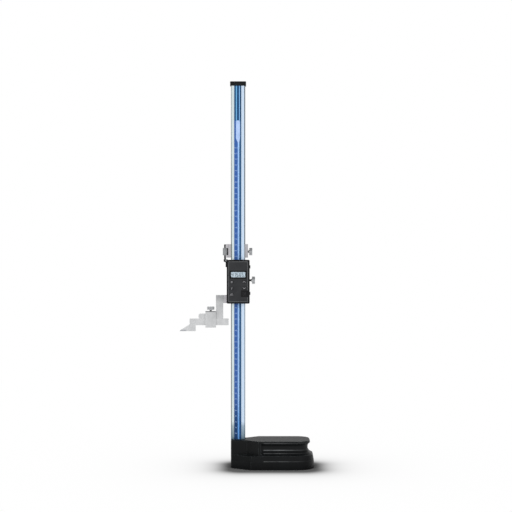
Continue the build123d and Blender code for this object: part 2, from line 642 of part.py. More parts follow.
# ------------------------------------------------------------------ spindle and its bracket
lug_outer = slider_left - LUG_THICKNESS
lug_arm_end = spindle_x - SPINDLE_RADIUS - LUG_WALL
with BuildPart() as spindle_lug:
    with BuildSketch(front_plane(0, LUG_DEPTH / 2, 0)):
        with BuildLine():
            Polyline((slider_left, lug_bottom), (lug_outer, lug_bottom),
                     (lug_outer, lug_top - LUG_ARM_HEIGHT - LUG_SLOPE),
                     (lug_arm_end, lug_top - LUG_ARM_HEIGHT),
                     (lug_arm_end, lug_top), (slider_left, lug_top), close=True)
        make_face()
    extrude(amount=LUG_DEPTH)
    chamfer(spindle_lug.edges().filter_by(Axis.Z).group_by(Axis.X)[0], LUG_EDGE)
    with Locations((spindle_x, 0, lug_top)):
        Hole(SPINDLE_RADIUS + SLIDE_GAP, depth=LUG_ARM_HEIGHT + LUG_SLOPE)
    with Locations(front_plane(cross_screw_x, -LUG_DEPTH / 2, cross_screw_z)):
        Hole(CROSS_SCREW_RADIUS + SLIDE_GAP, depth=LUG_DEPTH)
    with Locations(*[side_plane(lug_outer, 0, z, -1) for z in lug_bolt_zs]):
        CounterSinkHole(LUG_BOLT_RADIUS + SCREW_GAP, LUG_BOLT_HEAD + SCREW_GAP,
                        depth=LUG_THICKNESS, counter_sink_angle=90)
spindle_lug.part.label = "spindle_lug"

lug_bolts = flat_head_screws([side_plane(lug_outer, 0, z, -1) for z in lug_bolt_zs],
                             LUG_BOLT_HEAD, LUG_BOLT_RADIUS, LUG_BOLT_LENGTH)
lug_bolts.label = "lug_bolts"

spindle_bottom = lug_top - LUG_ARM_HEIGHT
spindle_top = nut_top + SPINDLE_ABOVE_NUT
with BuildPart() as adjust_spindle:
    with BuildSketch(Plane.XZ):
        with BuildLine():
            neck_bottom = cross_screw_z - SPINDLE_NECK_HEIGHT / 2
            neck_top = cross_screw_z + SPINDLE_NECK_HEIGHT / 2
            spindle_side = spindle_x + SPINDLE_RADIUS
            neck_side = spindle_x + SPINDLE_NECK
            Polyline((spindle_x, spindle_bottom), (spindle_side, spindle_bottom),
                     (spindle_side, neck_bottom), (neck_side, neck_bottom),
                     (neck_side, neck_top), (spindle_side, neck_top),
                     (spindle_side, spindle_top - SPINDLE_POINT),
                     (spindle_side - SPINDLE_POINT, spindle_top),
                     (spindle_x, spindle_top), close=True)
        make_face()
    revolve(axis=Axis((spindle_x, 0, 0), (0, 0, 1)))
adjust_spindle.part.label = "adjust_spindle"

spindle_screw = headed_screws([front_plane(cross_screw_x, -LUG_DEPTH / 2, cross_screw_z)],
                              CROSS_SCREW_HEAD, CROSS_SCREW_HEAD_HEIGHT, CROSS_SCREW_RADIUS,
                              CROSS_SCREW_LENGTH, CROSS_SCREW_HEAD)
spindle_screw.label = "spindle_screw"

# ------------------------------------------------------------------ display unit
post_reach = UNIT_WIDTH / 2 - POST_FROM_SIDE
post_places = [(x, z) for x in (UNIT_X - post_reach, UNIT_X + post_reach)
               for z in (unit_bottom + POST_FROM_END, unit_top - POST_FROM_END)]
housing_screw_planes = [front_plane(x, slider_front - SHELL_FLOOR, z)
                        for x, z in housing_screw_places]
with BuildPart() as display_back_shell:
    with BuildSketch(front_plane(UNIT_X, slider_front, unit_z)):
        RectangleRounded(UNIT_WIDTH, unit_height, UNIT_CORNER)
    extrude(amount=BACK_SHELL_DEPTH)
    chamfer(display_back_shell.faces().sort_by(Axis.Y)[-1].edges(), SHELL_EDGE)
    with BuildSketch(front_plane(UNIT_X, slider_front - SHELL_FLOOR, unit_z)):
        RectangleRounded(UNIT_WIDTH - 2 * SHELL_WALL, unit_height - 2 * SHELL_WALL,
                         UNIT_CORNER - SHELL_WALL)
    extrude(amount=BACK_SHELL_DEPTH, mode=Mode.SUBTRACT)
    # Posts for the circuit board, and the pad behind that carries the reading board.
    with BuildSketch(*[front_plane(x, slider_front - SHELL_FLOOR, z) for x, z in post_places]):
        Circle(POST_RADIUS)
    extrude(amount=BOARD_LIFT)
    with BuildSketch(front_plane(0, slider_front, unit_z)):
        Rectangle(READER_WIDTH, READER_HEIGHT)
    extrude(amount=slider_front + column_face + READER_GAP + READER_THICKNESS)
    with Locations(*housing_screw_planes):
        Hole(HOUSING_SCREW_RADIUS + SCREW_GAP, depth=SHELL_FLOOR)
display_back_shell.part.label = "display_back_shell"

housing_screws = headed_screws(
    housing_screw_planes, HOUSING_SCREW_HEAD, HOUSING_SCREW_HEAD_HEIGHT, HOUSING_SCREW_RADIUS,
    SHELL_FLOOR + HOUSING_SCREW_GRIP, HOUSING_SCREW_HEAD)
housing_screws.label = "housing_screws"

with BuildPart() as reader_board:
    with BuildSketch(front_plane(0, -column_face - READER_GAP, unit_z)):
        Rectangle(READER_WIDTH, READER_HEIGHT)
    extrude(amount=READER_THICKNESS)
reader_board.part.label = "reader_board"

key_places = {
    "key_left_top": (LEFT_KEYS_X, unit_top - LEFT_KEYS_DOWN[0]),
    "key_left_middle": (LEFT_KEYS_X, unit_top - LEFT_KEYS_DOWN[1]),
    "key_left_bottom": (LEFT_KEYS_X, unit_top - LEFT_KEYS_DOWN[2]),
    "key_right_top": (RIGHT_KEYS_X, unit_top - RIGHT_KEYS_DOWN[0]),
    "key_right_bottom": (RIGHT_KEYS_X, unit_top - RIGHT_KEYS_DOWN[1]),
}
key_planes = [front_plane(x, recess_floor, z) for x, z in key_places.values()]
face_width = UNIT_WIDTH - 2 * BEZEL
face_height = unit_height - 2 * BEZEL
cover_width = unit_right - cover_left

with BuildPart() as display_front_shell:
    with BuildSketch(front_plane(UNIT_X, unit_split, unit_z)):
        RectangleRounded(UNIT_WIDTH, unit_height, UNIT_CORNER)
    extrude(amount=FRONT_SHELL_DEPTH)
    chamfer(display_front_shell.faces().sort_by(Axis.Y)[0].edges(), SHELL_EDGE)
    # Tongue that locates it in the back shell, then the hollow behind the front wall.
    with BuildSketch(front_plane(UNIT_X, unit_split, unit_z)):
        RectangleRounded(UNIT_WIDTH - 2 * (SHELL_WALL + SLIDE_GAP),
                         unit_height - 2 * (SHELL_WALL + SLIDE_GAP), UNIT_CORNER - SHELL_WALL)
    extrude(amount=-SHELL_TONGUE)
    with BuildSketch(front_plane(UNIT_X, unit_split + SHELL_TONGUE, unit_z)):
        Rectangle(UNIT_WIDTH - 2 * (SHELL_WALL + SHELL_TONGUE),
                  unit_height - 2 * (SHELL_WALL + SHELL_TONGUE))
    extrude(amount=unit_split + SHELL_TONGUE - front_wall_back, mode=Mode.SUBTRACT)
    # Recess of the face plate, then the openings in the wall behind it.
    with BuildSketch(front_plane(UNIT_X, unit_face, unit_z)):
        RectangleRounded(face_width, face_height, FACE_CORNER)
    extrude(amount=-FACE_RECESS, mode=Mode.SUBTRACT)
    with BuildSketch(front_plane(UNIT_X, unit_face, window_z)):
        RectangleRounded(WINDOW_WIDTH, WINDOW_HEIGHT, WINDOW_CORNER)
    extrude(amount=unit_face - window_back, mode=Mode.SUBTRACT)
    with BuildSketch(front_plane(UNIT_X, unit_face, window_z)):
        Rectangle(WINDOW_WIDTH - 2 * WINDOW_LEDGE, WINDOW_HEIGHT - 2 * WINDOW_LEDGE)
    extrude(amount=-FRONT_SHELL_DEPTH, mode=Mode.SUBTRACT)
    with BuildSketch(*key_planes):
        RectangleRounded(KEY_WIDTH + 2 * KEY_GAP, KEY_HEIGHT + 2 * KEY_GAP, KEY_CORNER + KEY_GAP)
    extrude(amount=-FRONT_WALL, mode=Mode.SUBTRACT)
    # Battery cup, and the way of its cover, open at the right side.
    with BuildSketch(front_plane(BATTERY_X, front_wall_back, battery_z)):
        Circle(BATTERY_RADIUS + BATTERY_GAP + CUP_WALL)
    extrude(amount=-(cup_floor + CUP_WALL - front_wall_back))
    with BuildSketch(front_plane(cover_left, unit_face, battery_z)):
        Rectangle(2 * cover_width, COVER_HEIGHT + 2 * SCREW_GAP, align=(Align.MIN, Align.CENTER))
    extrude(amount=-COVER_THICKNESS - SCREW_GAP, mode=Mode.SUBTRACT)
    with BuildSketch(front_plane(BATTERY_X, unit_face, battery_z)):
        Circle(BATTERY_RADIUS + BATTERY_GAP)
    extrude(amount=unit_face - cup_floor, mode=Mode.SUBTRACT)
display_front_shell.part.label = "display_front_shell"

with BuildPart() as face_plate:
    with BuildSketch(front_plane(UNIT_X, recess_floor, unit_z)):
        RectangleRounded(face_width - 2 * SLIDE_GAP, face_height - 2 * SLIDE_GAP, FACE_CORNER)
    extrude(amount=FACE_THICKNESS)
    with BuildSketch(front_plane(UNIT_X, recess_floor, window_z)):
        RectangleRounded(WINDOW_WIDTH, WINDOW_HEIGHT, WINDOW_CORNER)
    extrude(amount=FACE_THICKNESS, mode=Mode.SUBTRACT)
    with BuildSketch(*key_planes):
        RectangleRounded(KEY_WIDTH + 2 * KEY_GAP, KEY_HEIGHT + 2 * KEY_GAP, KEY_CORNER + KEY_GAP)
    extrude(amount=FACE_THICKNESS, mode=Mode.SUBTRACT)
    with BuildSketch(front_plane(cover_left, recess_floor, battery_z)):
        Rectangle(2 * cover_width, COVER_HEIGHT + 2 * SCREW_GAP, align=(Align.MIN, Align.CENTER))
    extrude(amount=FACE_THICKNESS, mode=Mode.SUBTRACT)
face_plate.part.label = "face_plate"

with BuildPart() as lcd_window:
    with BuildSketch(front_plane(UNIT_X, window_back, window_z)):
        RectangleRounded(WINDOW_WIDTH - 2 * SCREW_GAP, WINDOW_HEIGHT - 2 * SCREW_GAP, WINDOW_CORNER)
    extrude(amount=WINDOW_THICKNESS)
lcd_window.part.label = "lcd_window"

lcd_width = WINDOW_WIDTH - 2 * WINDOW_LEDGE - 2 * LCD_MARGIN
lcd_height = WINDOW_HEIGHT - 2 * WINDOW_LEDGE - 2 * LCD_MARGIN
with BuildPart() as lcd_panel:
    with BuildSketch(front_plane(UNIT_X, lcd_back, window_z)):
        Rectangle(lcd_width, lcd_height)
    extrude(amount=LCD_THICKNESS)
lcd_panel.part.label = "lcd_panel"

# Two rubber strips carry the signals from the board to the panel and hold it up.
connector_offset = (lcd_height - CONNECTOR_WIDTH) / 2
connector_planes = [front_plane(UNIT_X, board_front, z)
                    for z in (window_z - connector_offset, window_z + connector_offset)]
with BuildPart() as lcd_connectors:
    with BuildSketch(*connector_planes):
        Rectangle(lcd_width, CONNECTOR_WIDTH)
    extrude(amount=board_front - lcd_back)
lcd_connectors.part.label = "lcd_connectors"

with BuildPart() as circuit_board:
    with BuildSketch(front_plane(UNIT_X, board_back, unit_z)):
        Rectangle(UNIT_WIDTH - 2 * (SHELL_WALL + BOARD_MARGIN),
                  unit_height - 2 * (SHELL_WALL + BOARD_MARGIN))
    extrude(amount=BOARD_THICKNESS)
circuit_board.part.label = "circuit_board"

mat_top = unit_top - min(LEFT_KEYS_DOWN[0], RIGHT_KEYS_DOWN[0]) + KEY_HEIGHT
mat_bottom = unit_top - LEFT_KEYS_DOWN[-1] - KEY_HEIGHT
with BuildPart() as key_mat:
    with BuildSketch(front_plane(LEFT_KEYS_X - KEY_WIDTH / 2, board_front, (mat_top + mat_bottom) / 2)):
        Rectangle(RIGHT_KEYS_X - LEFT_KEYS_X + KEY_WIDTH, mat_top - mat_bottom,
                  align=(Align.MIN, Align.CENTER))
    extrude(amount=MAT_THICKNESS)
key_mat.part.label = "key_mat"


def key_cap(x, z):
    """Key with its cap through the face, a flange that keeps it in, and a stem to the mat."""
    with BuildPart() as key:
        with BuildSketch(front_plane(x, front_wall_back + SCREW_GAP, z)):
            RectangleRounded(KEY_WIDTH, KEY_HEIGHT, KEY_CORNER)
        extrude(amount=front_wall_back + SCREW_GAP - plate_face + KEY_PROUD)
        chamfer(key.faces().sort_by(Axis.Y)[0].edges(), KEY_PROUD / 2)
        with BuildSketch(front_plane(x, front_wall_back + SCREW_GAP, z)):
            RectangleRounded(KEY_WIDTH + 2 * KEY_FLANGE, KEY_HEIGHT + 2 * KEY_FLANGE, KEY_CORNER)
        extrude(amount=-KEY_FLANGE_THICKNESS)
        with BuildSketch(front_plane(x, front_wall_back + SCREW_GAP + KEY_FLANGE_THICKNESS, z)):
            Circle(KEY_STEM)
        extrude(amount=-(mat_front - KEY_STROKE - KEY_STROKE_SPARE
                         - front_wall_back - SCREW_GAP - KEY_FLANGE_THICKNESS))
    return key.part


keys = {name: key_cap(x, z) for name, (x, z) in key_places.items()}

with BuildPart() as battery:
    with BuildSketch(front_plane(BATTERY_X, battery_back, battery_z)):
        Circle(BATTERY_RADIUS)
    extrude(amount=BATTERY_THICKNESS)
    chamfer(battery.edges().filter_by(GeomType.CIRCLE).sort_by(Axis.Y)[0], BATTERY_GAP)
battery.part.label = "battery"

with BuildPart() as battery_contact:
    with BuildSketch(front_plane(BATTERY_X, cup_floor, battery_z)):
        Circle(CONTACT_RADIUS)
    extrude(amount=CONTACT_THICKNESS)
battery_contact.part.label = "battery_contact"

with BuildPart() as battery_cover:
    with BuildSketch(front_plane(cover_left + SCREW_GAP, cover_back, battery_z)):
        Rectangle(cover_width - SCREW_GAP, COVER_HEIGHT, align=(Align.MIN, Align.CENTER))
    extrude(amount=COVER_THICKNESS)
    fillet(battery_cover.edges().filter_by(Axis.Z).group_by(Axis.X)[-1].sort_by(Axis.Y)[0],
           COVER_THICKNESS * 0.9)
    # Grip ribs.
    with BuildSketch(front_plane(BATTERY_X, unit_face, battery_z)):
        with GridLocations(COVER_RIB_PITCH, 0, COVER_RIB_COUNT, 1):
            Rectangle(COVER_RIB_WIDTH, COVER_HEIGHT / 2)
    extrude(amount=COVER_RIB_HEIGHT)
battery_cover.part.label = "battery_cover"

# ------------------------------------------------------------------ jaw
leg_right = jaw_left + JAW_LEG
with BuildPart() as jaw:
    with BuildSketch(front_plane(0, JAW_THICKNESS / 2, 0)) as jaw_profile:
        with BuildLine():
            Polyline((slider_left, SLIDER_BOTTOM), (slider_left, jaw_top), (jaw_left, jaw_top),
                     (jaw_left, beam_top), (beam_left, beam_top), (beam_left, beam_bottom),
                     (leg_right, beam_bottom), (leg_right, SLIDER_BOTTOM), close=True)
        make_face()
        fillet(jaw_profile.vertices().group_by(Axis.X)[0], BEAM_END)
    extrude(amount=JAW_THICKNESS)
    inner_corner = jaw.edges().filter_by(Axis.Y).sort_by_distance((leg_right, 0, SLIDER_BOTTOM))[0]
    fillet(inner_corner, JAW_FILLET)
    chamfer(jaw.edges().filter_by(Axis.Y).sort_by_distance((jaw_left, 0, jaw_top))[0], JAW_EDGE)
    with Locations(*[Plane(origin=(jaw_screw_x, JAW_THICKNESS / 2, z), x_dir=(-1, 0, 0),
                           z_dir=(0, 1, 0)) for z in jaw_screw_zs]):
        Hole(JAW_SCREW_RADIUS + SCREW_GAP,
             depth=JAW_SCREW_LENGTH - EAR_BACK + JAW_SCREW_HEAD_HEIGHT + DRILL_SPARE)
jaw.part.label = "jaw"

jaw_screws = headed_screws(
    [plane.offset(-JAW_SCREW_HEAD_HEIGHT) for plane in ear_back_planes],
    JAW_SCREW_HEAD, JAW_SCREW_HEAD_HEIGHT, JAW_SCREW_RADIUS, JAW_SCREW_LENGTH, JAW_SCREW_HEAD)
jaw_screws.label = "jaw_screws"

# ------------------------------------------------------------------ scriber and its hard tip
slope_top = scriber_bottom + TIP_SLOPE_RISE


def scriber_blank():
    """Whole scriber, with the tip thinned from behind; the hard tip is parted from it below."""
    with BuildPart() as blank:
        with BuildSketch(front_plane(0, JAW_THICKNESS / 2, 0)):
            with BuildLine():
                Polyline((scriber_tail, scriber_top), (scriber_left, scriber_top),
                         (scriber_left, slope_top), (tip_x + 1, face_z + TIP_NOSE),
                         (tip_x, face_z), (tip_x + SCRIBER_FACE, face_z),
                         (tip_x + SCRIBER_FACE, scriber_bottom), (scriber_tail, scriber_bottom),
                         close=True)
            make_face()
        extrude(amount=JAW_THICKNESS)
        with BuildSketch(Plane.XY.offset(face_z)):
            with BuildLine():
                Polyline((tip_x - 1, TIP_THICKNESS - JAW_THICKNESS / 2),
                         (tip_x + 1, TIP_THICKNESS - JAW_THICKNESS / 2),
                         (tip_x + TIP_TAPER, JAW_THICKNESS / 2), (tip_x + TIP_TAPER, JAW_THICKNESS),
                         (tip_x - 1, JAW_THICKNESS), close=True)
            make_face()
        extrude(amount=scriber_top - face_z, mode=Mode.SUBTRACT)
    return blank.part


with BuildPart() as scriber:
    add(scriber_blank())
    with BuildSketch(front_plane(tip_x + CARBIDE_LENGTH, JAW_THICKNESS, face_z)):
        Rectangle(2 * CARBIDE_LENGTH, 2 * CARBIDE_HEIGHT, align=(Align.MAX, Align.CENTER))
    extrude(amount=2 * JAW_THICKNESS, mode=Mode.SUBTRACT)
scriber.part.label = "scriber"

with BuildPart() as carbide_tip:
    add(scriber_blank())
    with BuildSketch(front_plane(tip_x + CARBIDE_LENGTH, JAW_THICKNESS, face_z)):
        Rectangle(2 * CARBIDE_LENGTH, 2 * CARBIDE_HEIGHT, align=(Align.MAX, Align.CENTER))
    extrude(amount=2 * JAW_THICKNESS, mode=Mode.INTERSECT)
carbide_tip.part.label = "carbide_tip"

# ------------------------------------------------------------------ scriber clamp
with BuildPart() as scriber_clamp:
    clamp_room_bottom = clamp_bottom + CLAMP_WALL
    clamp_room_top = clamp_top - CLAMP_WALL
    with BuildSketch(side_plane(clamp_left, 0, (clamp_bottom + clamp_top) / 2)):
        RectangleRounded(JAW_THICKNESS + 2 * (SCREW_GAP + CLAMP_SIDE), clamp_top - clamp_bottom,
                         CLAMP_EDGE)
    extrude(amount=CLAMP_WIDTH)
    with BuildSketch(side_plane(clamp_left, 0, (clamp_room_bottom + clamp_room_top) / 2)):
        Rectangle(JAW_THICKNESS + 2 * SCREW_GAP, clamp_room_top - clamp_room_bottom)
    extrude(amount=CLAMP_WIDTH, mode=Mode.SUBTRACT)
    with Locations((clamp_x, 0, clamp_top)):
        Hole(THUMB_STEM + SCREW_GAP, depth=CLAMP_WALL)
scriber_clamp.part.label = "scriber_clamp"

scriber_clamp_screw = thumb_screw(Plane.XY.offset(clamp_top).move(Location((clamp_x, 0, 0))),
                                  CLAMP_NECK, CLAMP_WALL + CLAMP_ROOM - END_GAP)
scriber_clamp_screw.label = "scriber_clamp_screw"

# ------------------------------------------------------------------ files
built_parts = (base_casting, column, scale_strip, column_cap, carriage_block, carriage_pad,
               adjust_nut, slider_frame, slider_gib, spindle_lug, adjust_spindle,
               display_back_shell, reader_board, display_front_shell, face_plate, lcd_window,
               lcd_panel, lcd_connectors, circuit_board, key_mat, battery, battery_contact,
               battery_cover, jaw, scriber, carbide_tip, scriber_clamp)
screws = (column_bolts, cap_screws, carriage_clamp_screw, gib_screws, slider_clamp_screw,
          lug_bolts, spindle_screw, housing_screws, jaw_screws, scriber_clamp_screw)
for built in built_parts:
    export_step(built.part, f"parts/{built.part.label}.step")
for screw in screws:
    export_step(screw, f"parts/{screw.label}.step")
for name, key in keys.items():
    key.label = name
    export_step(key, f"parts/{name}.step")
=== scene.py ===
import json
from math import cos, pi, sin

import bmesh
import bpy
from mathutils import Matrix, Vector


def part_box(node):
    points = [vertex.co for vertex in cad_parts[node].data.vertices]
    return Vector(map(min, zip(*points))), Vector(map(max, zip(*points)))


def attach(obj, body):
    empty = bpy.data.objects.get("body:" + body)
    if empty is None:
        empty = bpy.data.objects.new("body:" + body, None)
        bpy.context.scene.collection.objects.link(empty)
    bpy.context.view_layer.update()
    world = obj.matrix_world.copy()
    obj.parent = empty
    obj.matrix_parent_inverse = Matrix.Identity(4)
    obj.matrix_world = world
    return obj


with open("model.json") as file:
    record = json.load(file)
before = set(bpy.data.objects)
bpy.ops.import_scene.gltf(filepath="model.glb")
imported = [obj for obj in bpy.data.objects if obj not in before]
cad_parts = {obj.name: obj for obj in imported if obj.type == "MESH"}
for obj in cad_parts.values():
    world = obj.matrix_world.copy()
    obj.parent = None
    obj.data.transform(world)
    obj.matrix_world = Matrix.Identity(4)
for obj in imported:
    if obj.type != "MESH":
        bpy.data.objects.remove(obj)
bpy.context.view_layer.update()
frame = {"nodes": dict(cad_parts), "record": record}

MM = 0.001
scene = bpy.context.scene


def box_mm(node):
    """Lowest and highest corner of a CAD node."""
    low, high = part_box(node)
    return [v / MM for v in low], [v / MM for v in high]


def middle_of(node):
    low, high = box_mm(node)
    return [(a + b) / 2 for a, b in zip(low, high)]


def front_box(node):
    """Left, right, lowest and highest place of a CAD node, seen from the front."""
    low, high = box_mm(node)
    return low[0], high[0], low[2], high[2]


base_low, base_high = box_mm("base_casting")
column_low, column_high = box_mm("column")
strip_low, strip_high = box_mm("scale_strip")

# ------------------------------------------------------------------ node trees
NOISE_ROUGHNESS = 0.55
EDGE_SAMPLES = 6
EDGE_MATCH = (0.994, 0.90)      # how well rounded and true direction agree: on a flat face, on an edge


class Tree:
    """The node tree of one material or world, with short calls for the nodes used most."""

    def __init__(self, owner):
        owner.use_nodes = True
        self.nodes = owner.node_tree.nodes
        self.links = owner.node_tree.links
        self.nodes.clear()

    def add(self, kind, inputs=None, **props):
        node = self.nodes.new("ShaderNode" + kind)
        for key, value in props.items():
            setattr(node, key, value)
        for key, value in (inputs or {}).items():
            if isinstance(value, bpy.types.NodeSocket):
                self.links.new(value, node.inputs[key])
            else:
                node.inputs[key].default_value = value
        return node

    def math(self, operation, a, b=0.0):
        return self.add("Math", {0: a, 1: b}, operation=operation).outputs[0]

    def times(self, a, b):
        return self.math("MULTIPLY", a, b)

    def off(self, value, middle):
        """Distance of value from middle."""
        return self.math("ABSOLUTE", self.math("SUBTRACT", value, middle))

    def mix(self, share, a, b):
        """Colour a at share 0 and b at share 1."""
        return self.add("Mix", {0: share, 6: a, 7: b}, data_type="RGBA").outputs[2]

    def choose(self, share, a, b):
        """Value a at share 0 and b at share 1."""
        return self.add("Mix", {0: share, 2: a, 3: b}, data_type="FLOAT").outputs[0]

    def span(self, value, low, high, to_low=0.0, to_high=1.0):
        """value between low and high, carried over to between to_low and to_high."""
        return self.add("MapRange", {0: value, 1: low, 2: high, 3: to_low, 4: to_high}).outputs[0]

    def where(self):
        """x, y and z of the point."""
        point = self.add("TexCoord").outputs["Object"]
        scaled = self.add("VectorMath", {0: point, 3: 1 / MM}, operation="SCALE").outputs[0]
        return self.add("SeparateXYZ", {0: scaled}).outputs

    def facing(self):
        """x, y and z of the surface's direction, turned with the piece."""
        normal = self.add("TexCoord").outputs["Normal"]
        return self.add("SeparateXYZ", {0: normal}).outputs

    def noise(self, scale, detail=3.0, stretch=(1, 1, 1)):
        """Noise of that many patches per metre."""
        point = self.add("TexCoord").outputs["Object"]
        placed = self.add("Mapping", {"Vector": point, "Scale": stretch}).outputs[0]
        inputs = {"Vector": placed, "Scale": scale, "Detail": detail, "Roughness": NOISE_ROUGHNESS}
        return self.add("TexNoise", inputs).outputs[0]

    def edges(self, radius):
        """1 on edges and corners of about that radius, 0 on flat faces."""
        rounded = self.add("Bevel", {"Radius": radius * MM}, samples=EDGE_SAMPLES).outputs[0]
        true = self.add("NewGeometry").outputs["Normal"]
        same = self.add("VectorMath", {0: rounded, 1: true}, operation="DOT_PRODUCT").outputs["Value"]
        return self.span(same, *EDGE_MATCH)

    def show(self, shader, output="OutputMaterial"):
        self.links.new(shader.outputs[0], self.add(output).inputs[0])


def rgb(text):
    """A colour written as on screen, such as 3F5F9C, in the renderer's linear values."""
    values = [int(text[i:i + 2], 16) / 255 for i in (0, 2, 4)]
    return [v / 12.92 if v <= 0.04045 else ((v + 0.055) / 1.055) ** 2.4 for v in values] + [1.0]


BLOTCH_SPAN = (0.32, 0.68)      # noise between these turns one tone into the other
GRAIN_SPAN = (0.3, 0.7)
GRAIN_LIFT = 0.4                # the grain lightens by this share of what it darkens
EDGE_PATCHES = 160.0            # per metre, along the lighter edges
PATCH_SPAN = (0.3, 0.62)
EDGE_POLISH = 0.3               # share of the roughness that the lighter edges lose


def finish(name, tones, rough, metal=0.0, specular=0.3, blotch=40.0, grain=3000.0, stretch=(1, 1, 1),
           bump=0.2, depth=0.02, streak=0.1, edge_wear_and_highlight=None, waves=None, painter=None):
    """A surface with two tones in soft blotches, a fine grain in tone, gloss and bump, and lighter edges:
    worn edges, and on the enamel and the housing a painted highlight along the edges.

    rough: lowest and highest roughness. blotch and grain are per metre; stretch draws the grain out,
    and depth is its height. edge_wear_and_highlight: (tone, share, radius). waves: (per metre, height).
    painter(tree, colour) returns the colour with a pattern of the finish's own, and on some finishes with
    painted light and shade.
    """
    material = bpy.data.materials.new(name)
    tree = Tree(material)
    fine = tree.noise(grain, detail=4.0, stretch=stretch)
    blotches = tree.span(tree.noise(blotch, detail=4.0), *BLOTCH_SPAN)
    colour = tree.mix(blotches, rgb(tones[0]), rgb(tones[1]))
    if painter:
        colour = painter(tree, colour)
    shade = tree.span(fine, *GRAIN_SPAN, 1.0 - streak, 1.0 + streak * GRAIN_LIFT)
    colour = tree.add("VectorMath", {0: colour, 3: shade}, operation="SCALE").outputs[0]
    roughness = tree.span(fine, *GRAIN_SPAN, *rough)
    # lighter edges: wear, and a painted highlight on the enamel and the housing
    if edge_wear_and_highlight:
        tone, share, radius = edge_wear_and_highlight
        patchy = tree.span(tree.noise(EDGE_PATCHES, detail=5.0), *PATCH_SPAN, 0.0, share)
        edge = tree.times(tree.edges(radius), patchy)
        colour = tree.mix(edge, colour, rgb(tone))
        roughness = tree.math("SUBTRACT", roughness, tree.times(edge, rough[0] * EDGE_POLISH))
    normal = tree.add("Bump", {"Strength": bump, "Distance": depth * MM, "Height": fine}).outputs[0]
    if waves:
        swell = tree.noise(waves[0], detail=2.0)
        inputs = {"Strength": 1.0, "Distance": waves[1] * MM, "Height": swell, "Normal": normal}
        normal = tree.add("Bump", inputs).outputs[0]
    tree.show(tree.add("BsdfPrincipled", {
        "Base Color": colour, "Roughness": roughness, "Metallic": metal, "Normal": normal,
        "Specular IOR Level": specular}))
    return material


# ------------------------------------------------------------------ painter of the scale's film
STRIP_WIDTH = strip_high[0] - strip_low[0]
LINE_FROM, LINE_TO = 12.6, 18.0         # the pale line with the divisions, from the film's left edge
LINE_LEFT, LINE_RIGHT = strip_low[0] + LINE_FROM, strip_low[0] + LINE_TO
BAND_STARTS = (0.0, LINE_FROM, LINE_TO)
BAND_TONES = ("385EA2", "A2CAFA", "2C5276")
FOOT_TONES = ("103A6A", "6CACF2", "0E3F70")
FOOT_FROM, FOOT_TO = 245.0, 150.0       # the film turns a deeper blue between these heights
STRIPES_FROM = 1214.0                   # above it the film has narrow stripes
STRIPE_STARTS = (0.0, 6.3, 9.8, 16.8, 20.3)
STRIPE_TONES = ("1C5078", "72B0DC", "063E6A", "78ACDC", "0E304E")
FADE_SHARE = 0.10                       # of the film's own blue, in soft patches of the print
FADE_PATCHES = 5.0                      # per metre


def bands(tree, across, starts, tones):
    """Upright bands of plain tones; across is 0 at the film's left edge and 1 at its right."""
    ramp = tree.add("ValToRGB", {0: across})
    ramp.color_ramp.interpolation = "CONSTANT"
    marks = ramp.color_ramp.elements
    while len(marks) < len(starts):
        marks.new(1.0)
    for mark, start, tone in zip(marks, starts, tones):
        mark.position = start / STRIP_WIDTH
        mark.color = rgb(tone)
    return ramp.outputs[0]


def strip_bands(tree, colour):
    """Print on the film: two blue bands beside a pale line, and narrow stripes at the top."""
    x, _, z = tree.where()
    across = tree.span(x, strip_low[0], strip_high[0])
    bright = bands(tree, across, BAND_STARTS, BAND_TONES)
    deep = bands(tree, across, BAND_STARTS, FOOT_TONES)
    printed = tree.mix(tree.span(z, FOOT_FROM, FOOT_TO), bright, deep)
    at_top = tree.math("GREATER_THAN", z, STRIPES_FROM)
    printed = tree.mix(at_top, printed, bands(tree, across, STRIPE_STARTS, STRIPE_TONES))
    uneven = tree.span(tree.noise(FADE_PATCHES, detail=2.0), *GRAIN_SPAN, 0.0, FADE_SHARE)
    return tree.mix(uneven, printed, colour)


# ------------------------------------------------------------------ painter of the column: painted reflections and shade
BLUE_REFLECTION_SPAN = (-10.0, 10.0)               # a painted bluer reflection comes in across these places on the face
FACING_FRONT = (-0.2, -0.5)             # y of the direction: not facing the front yet, facing it
BEVEL_REFLECTION_BAND = 3.2                         # the painted dark reflection on the bevelled edges reaches this far onto the face
EDGE_BLUR = 0.5
LEFT_FADE = (1250.0, 750.0, 0.10, 0.80)     # two heights, and how dark the painted reflection on the left edge is there
RIGHT_FADE = (720.0, 780.0, 0.60, 1.0)      # the same for the right edge
FOOT_SHADE = (62.0, 46.5, 0.0, 0.50)    # two heights above the base, and how dark the painted shade makes the column there
FOOT_DEEPER = (49.6, 0.0, 0.0, 0.40)    # what is added to it


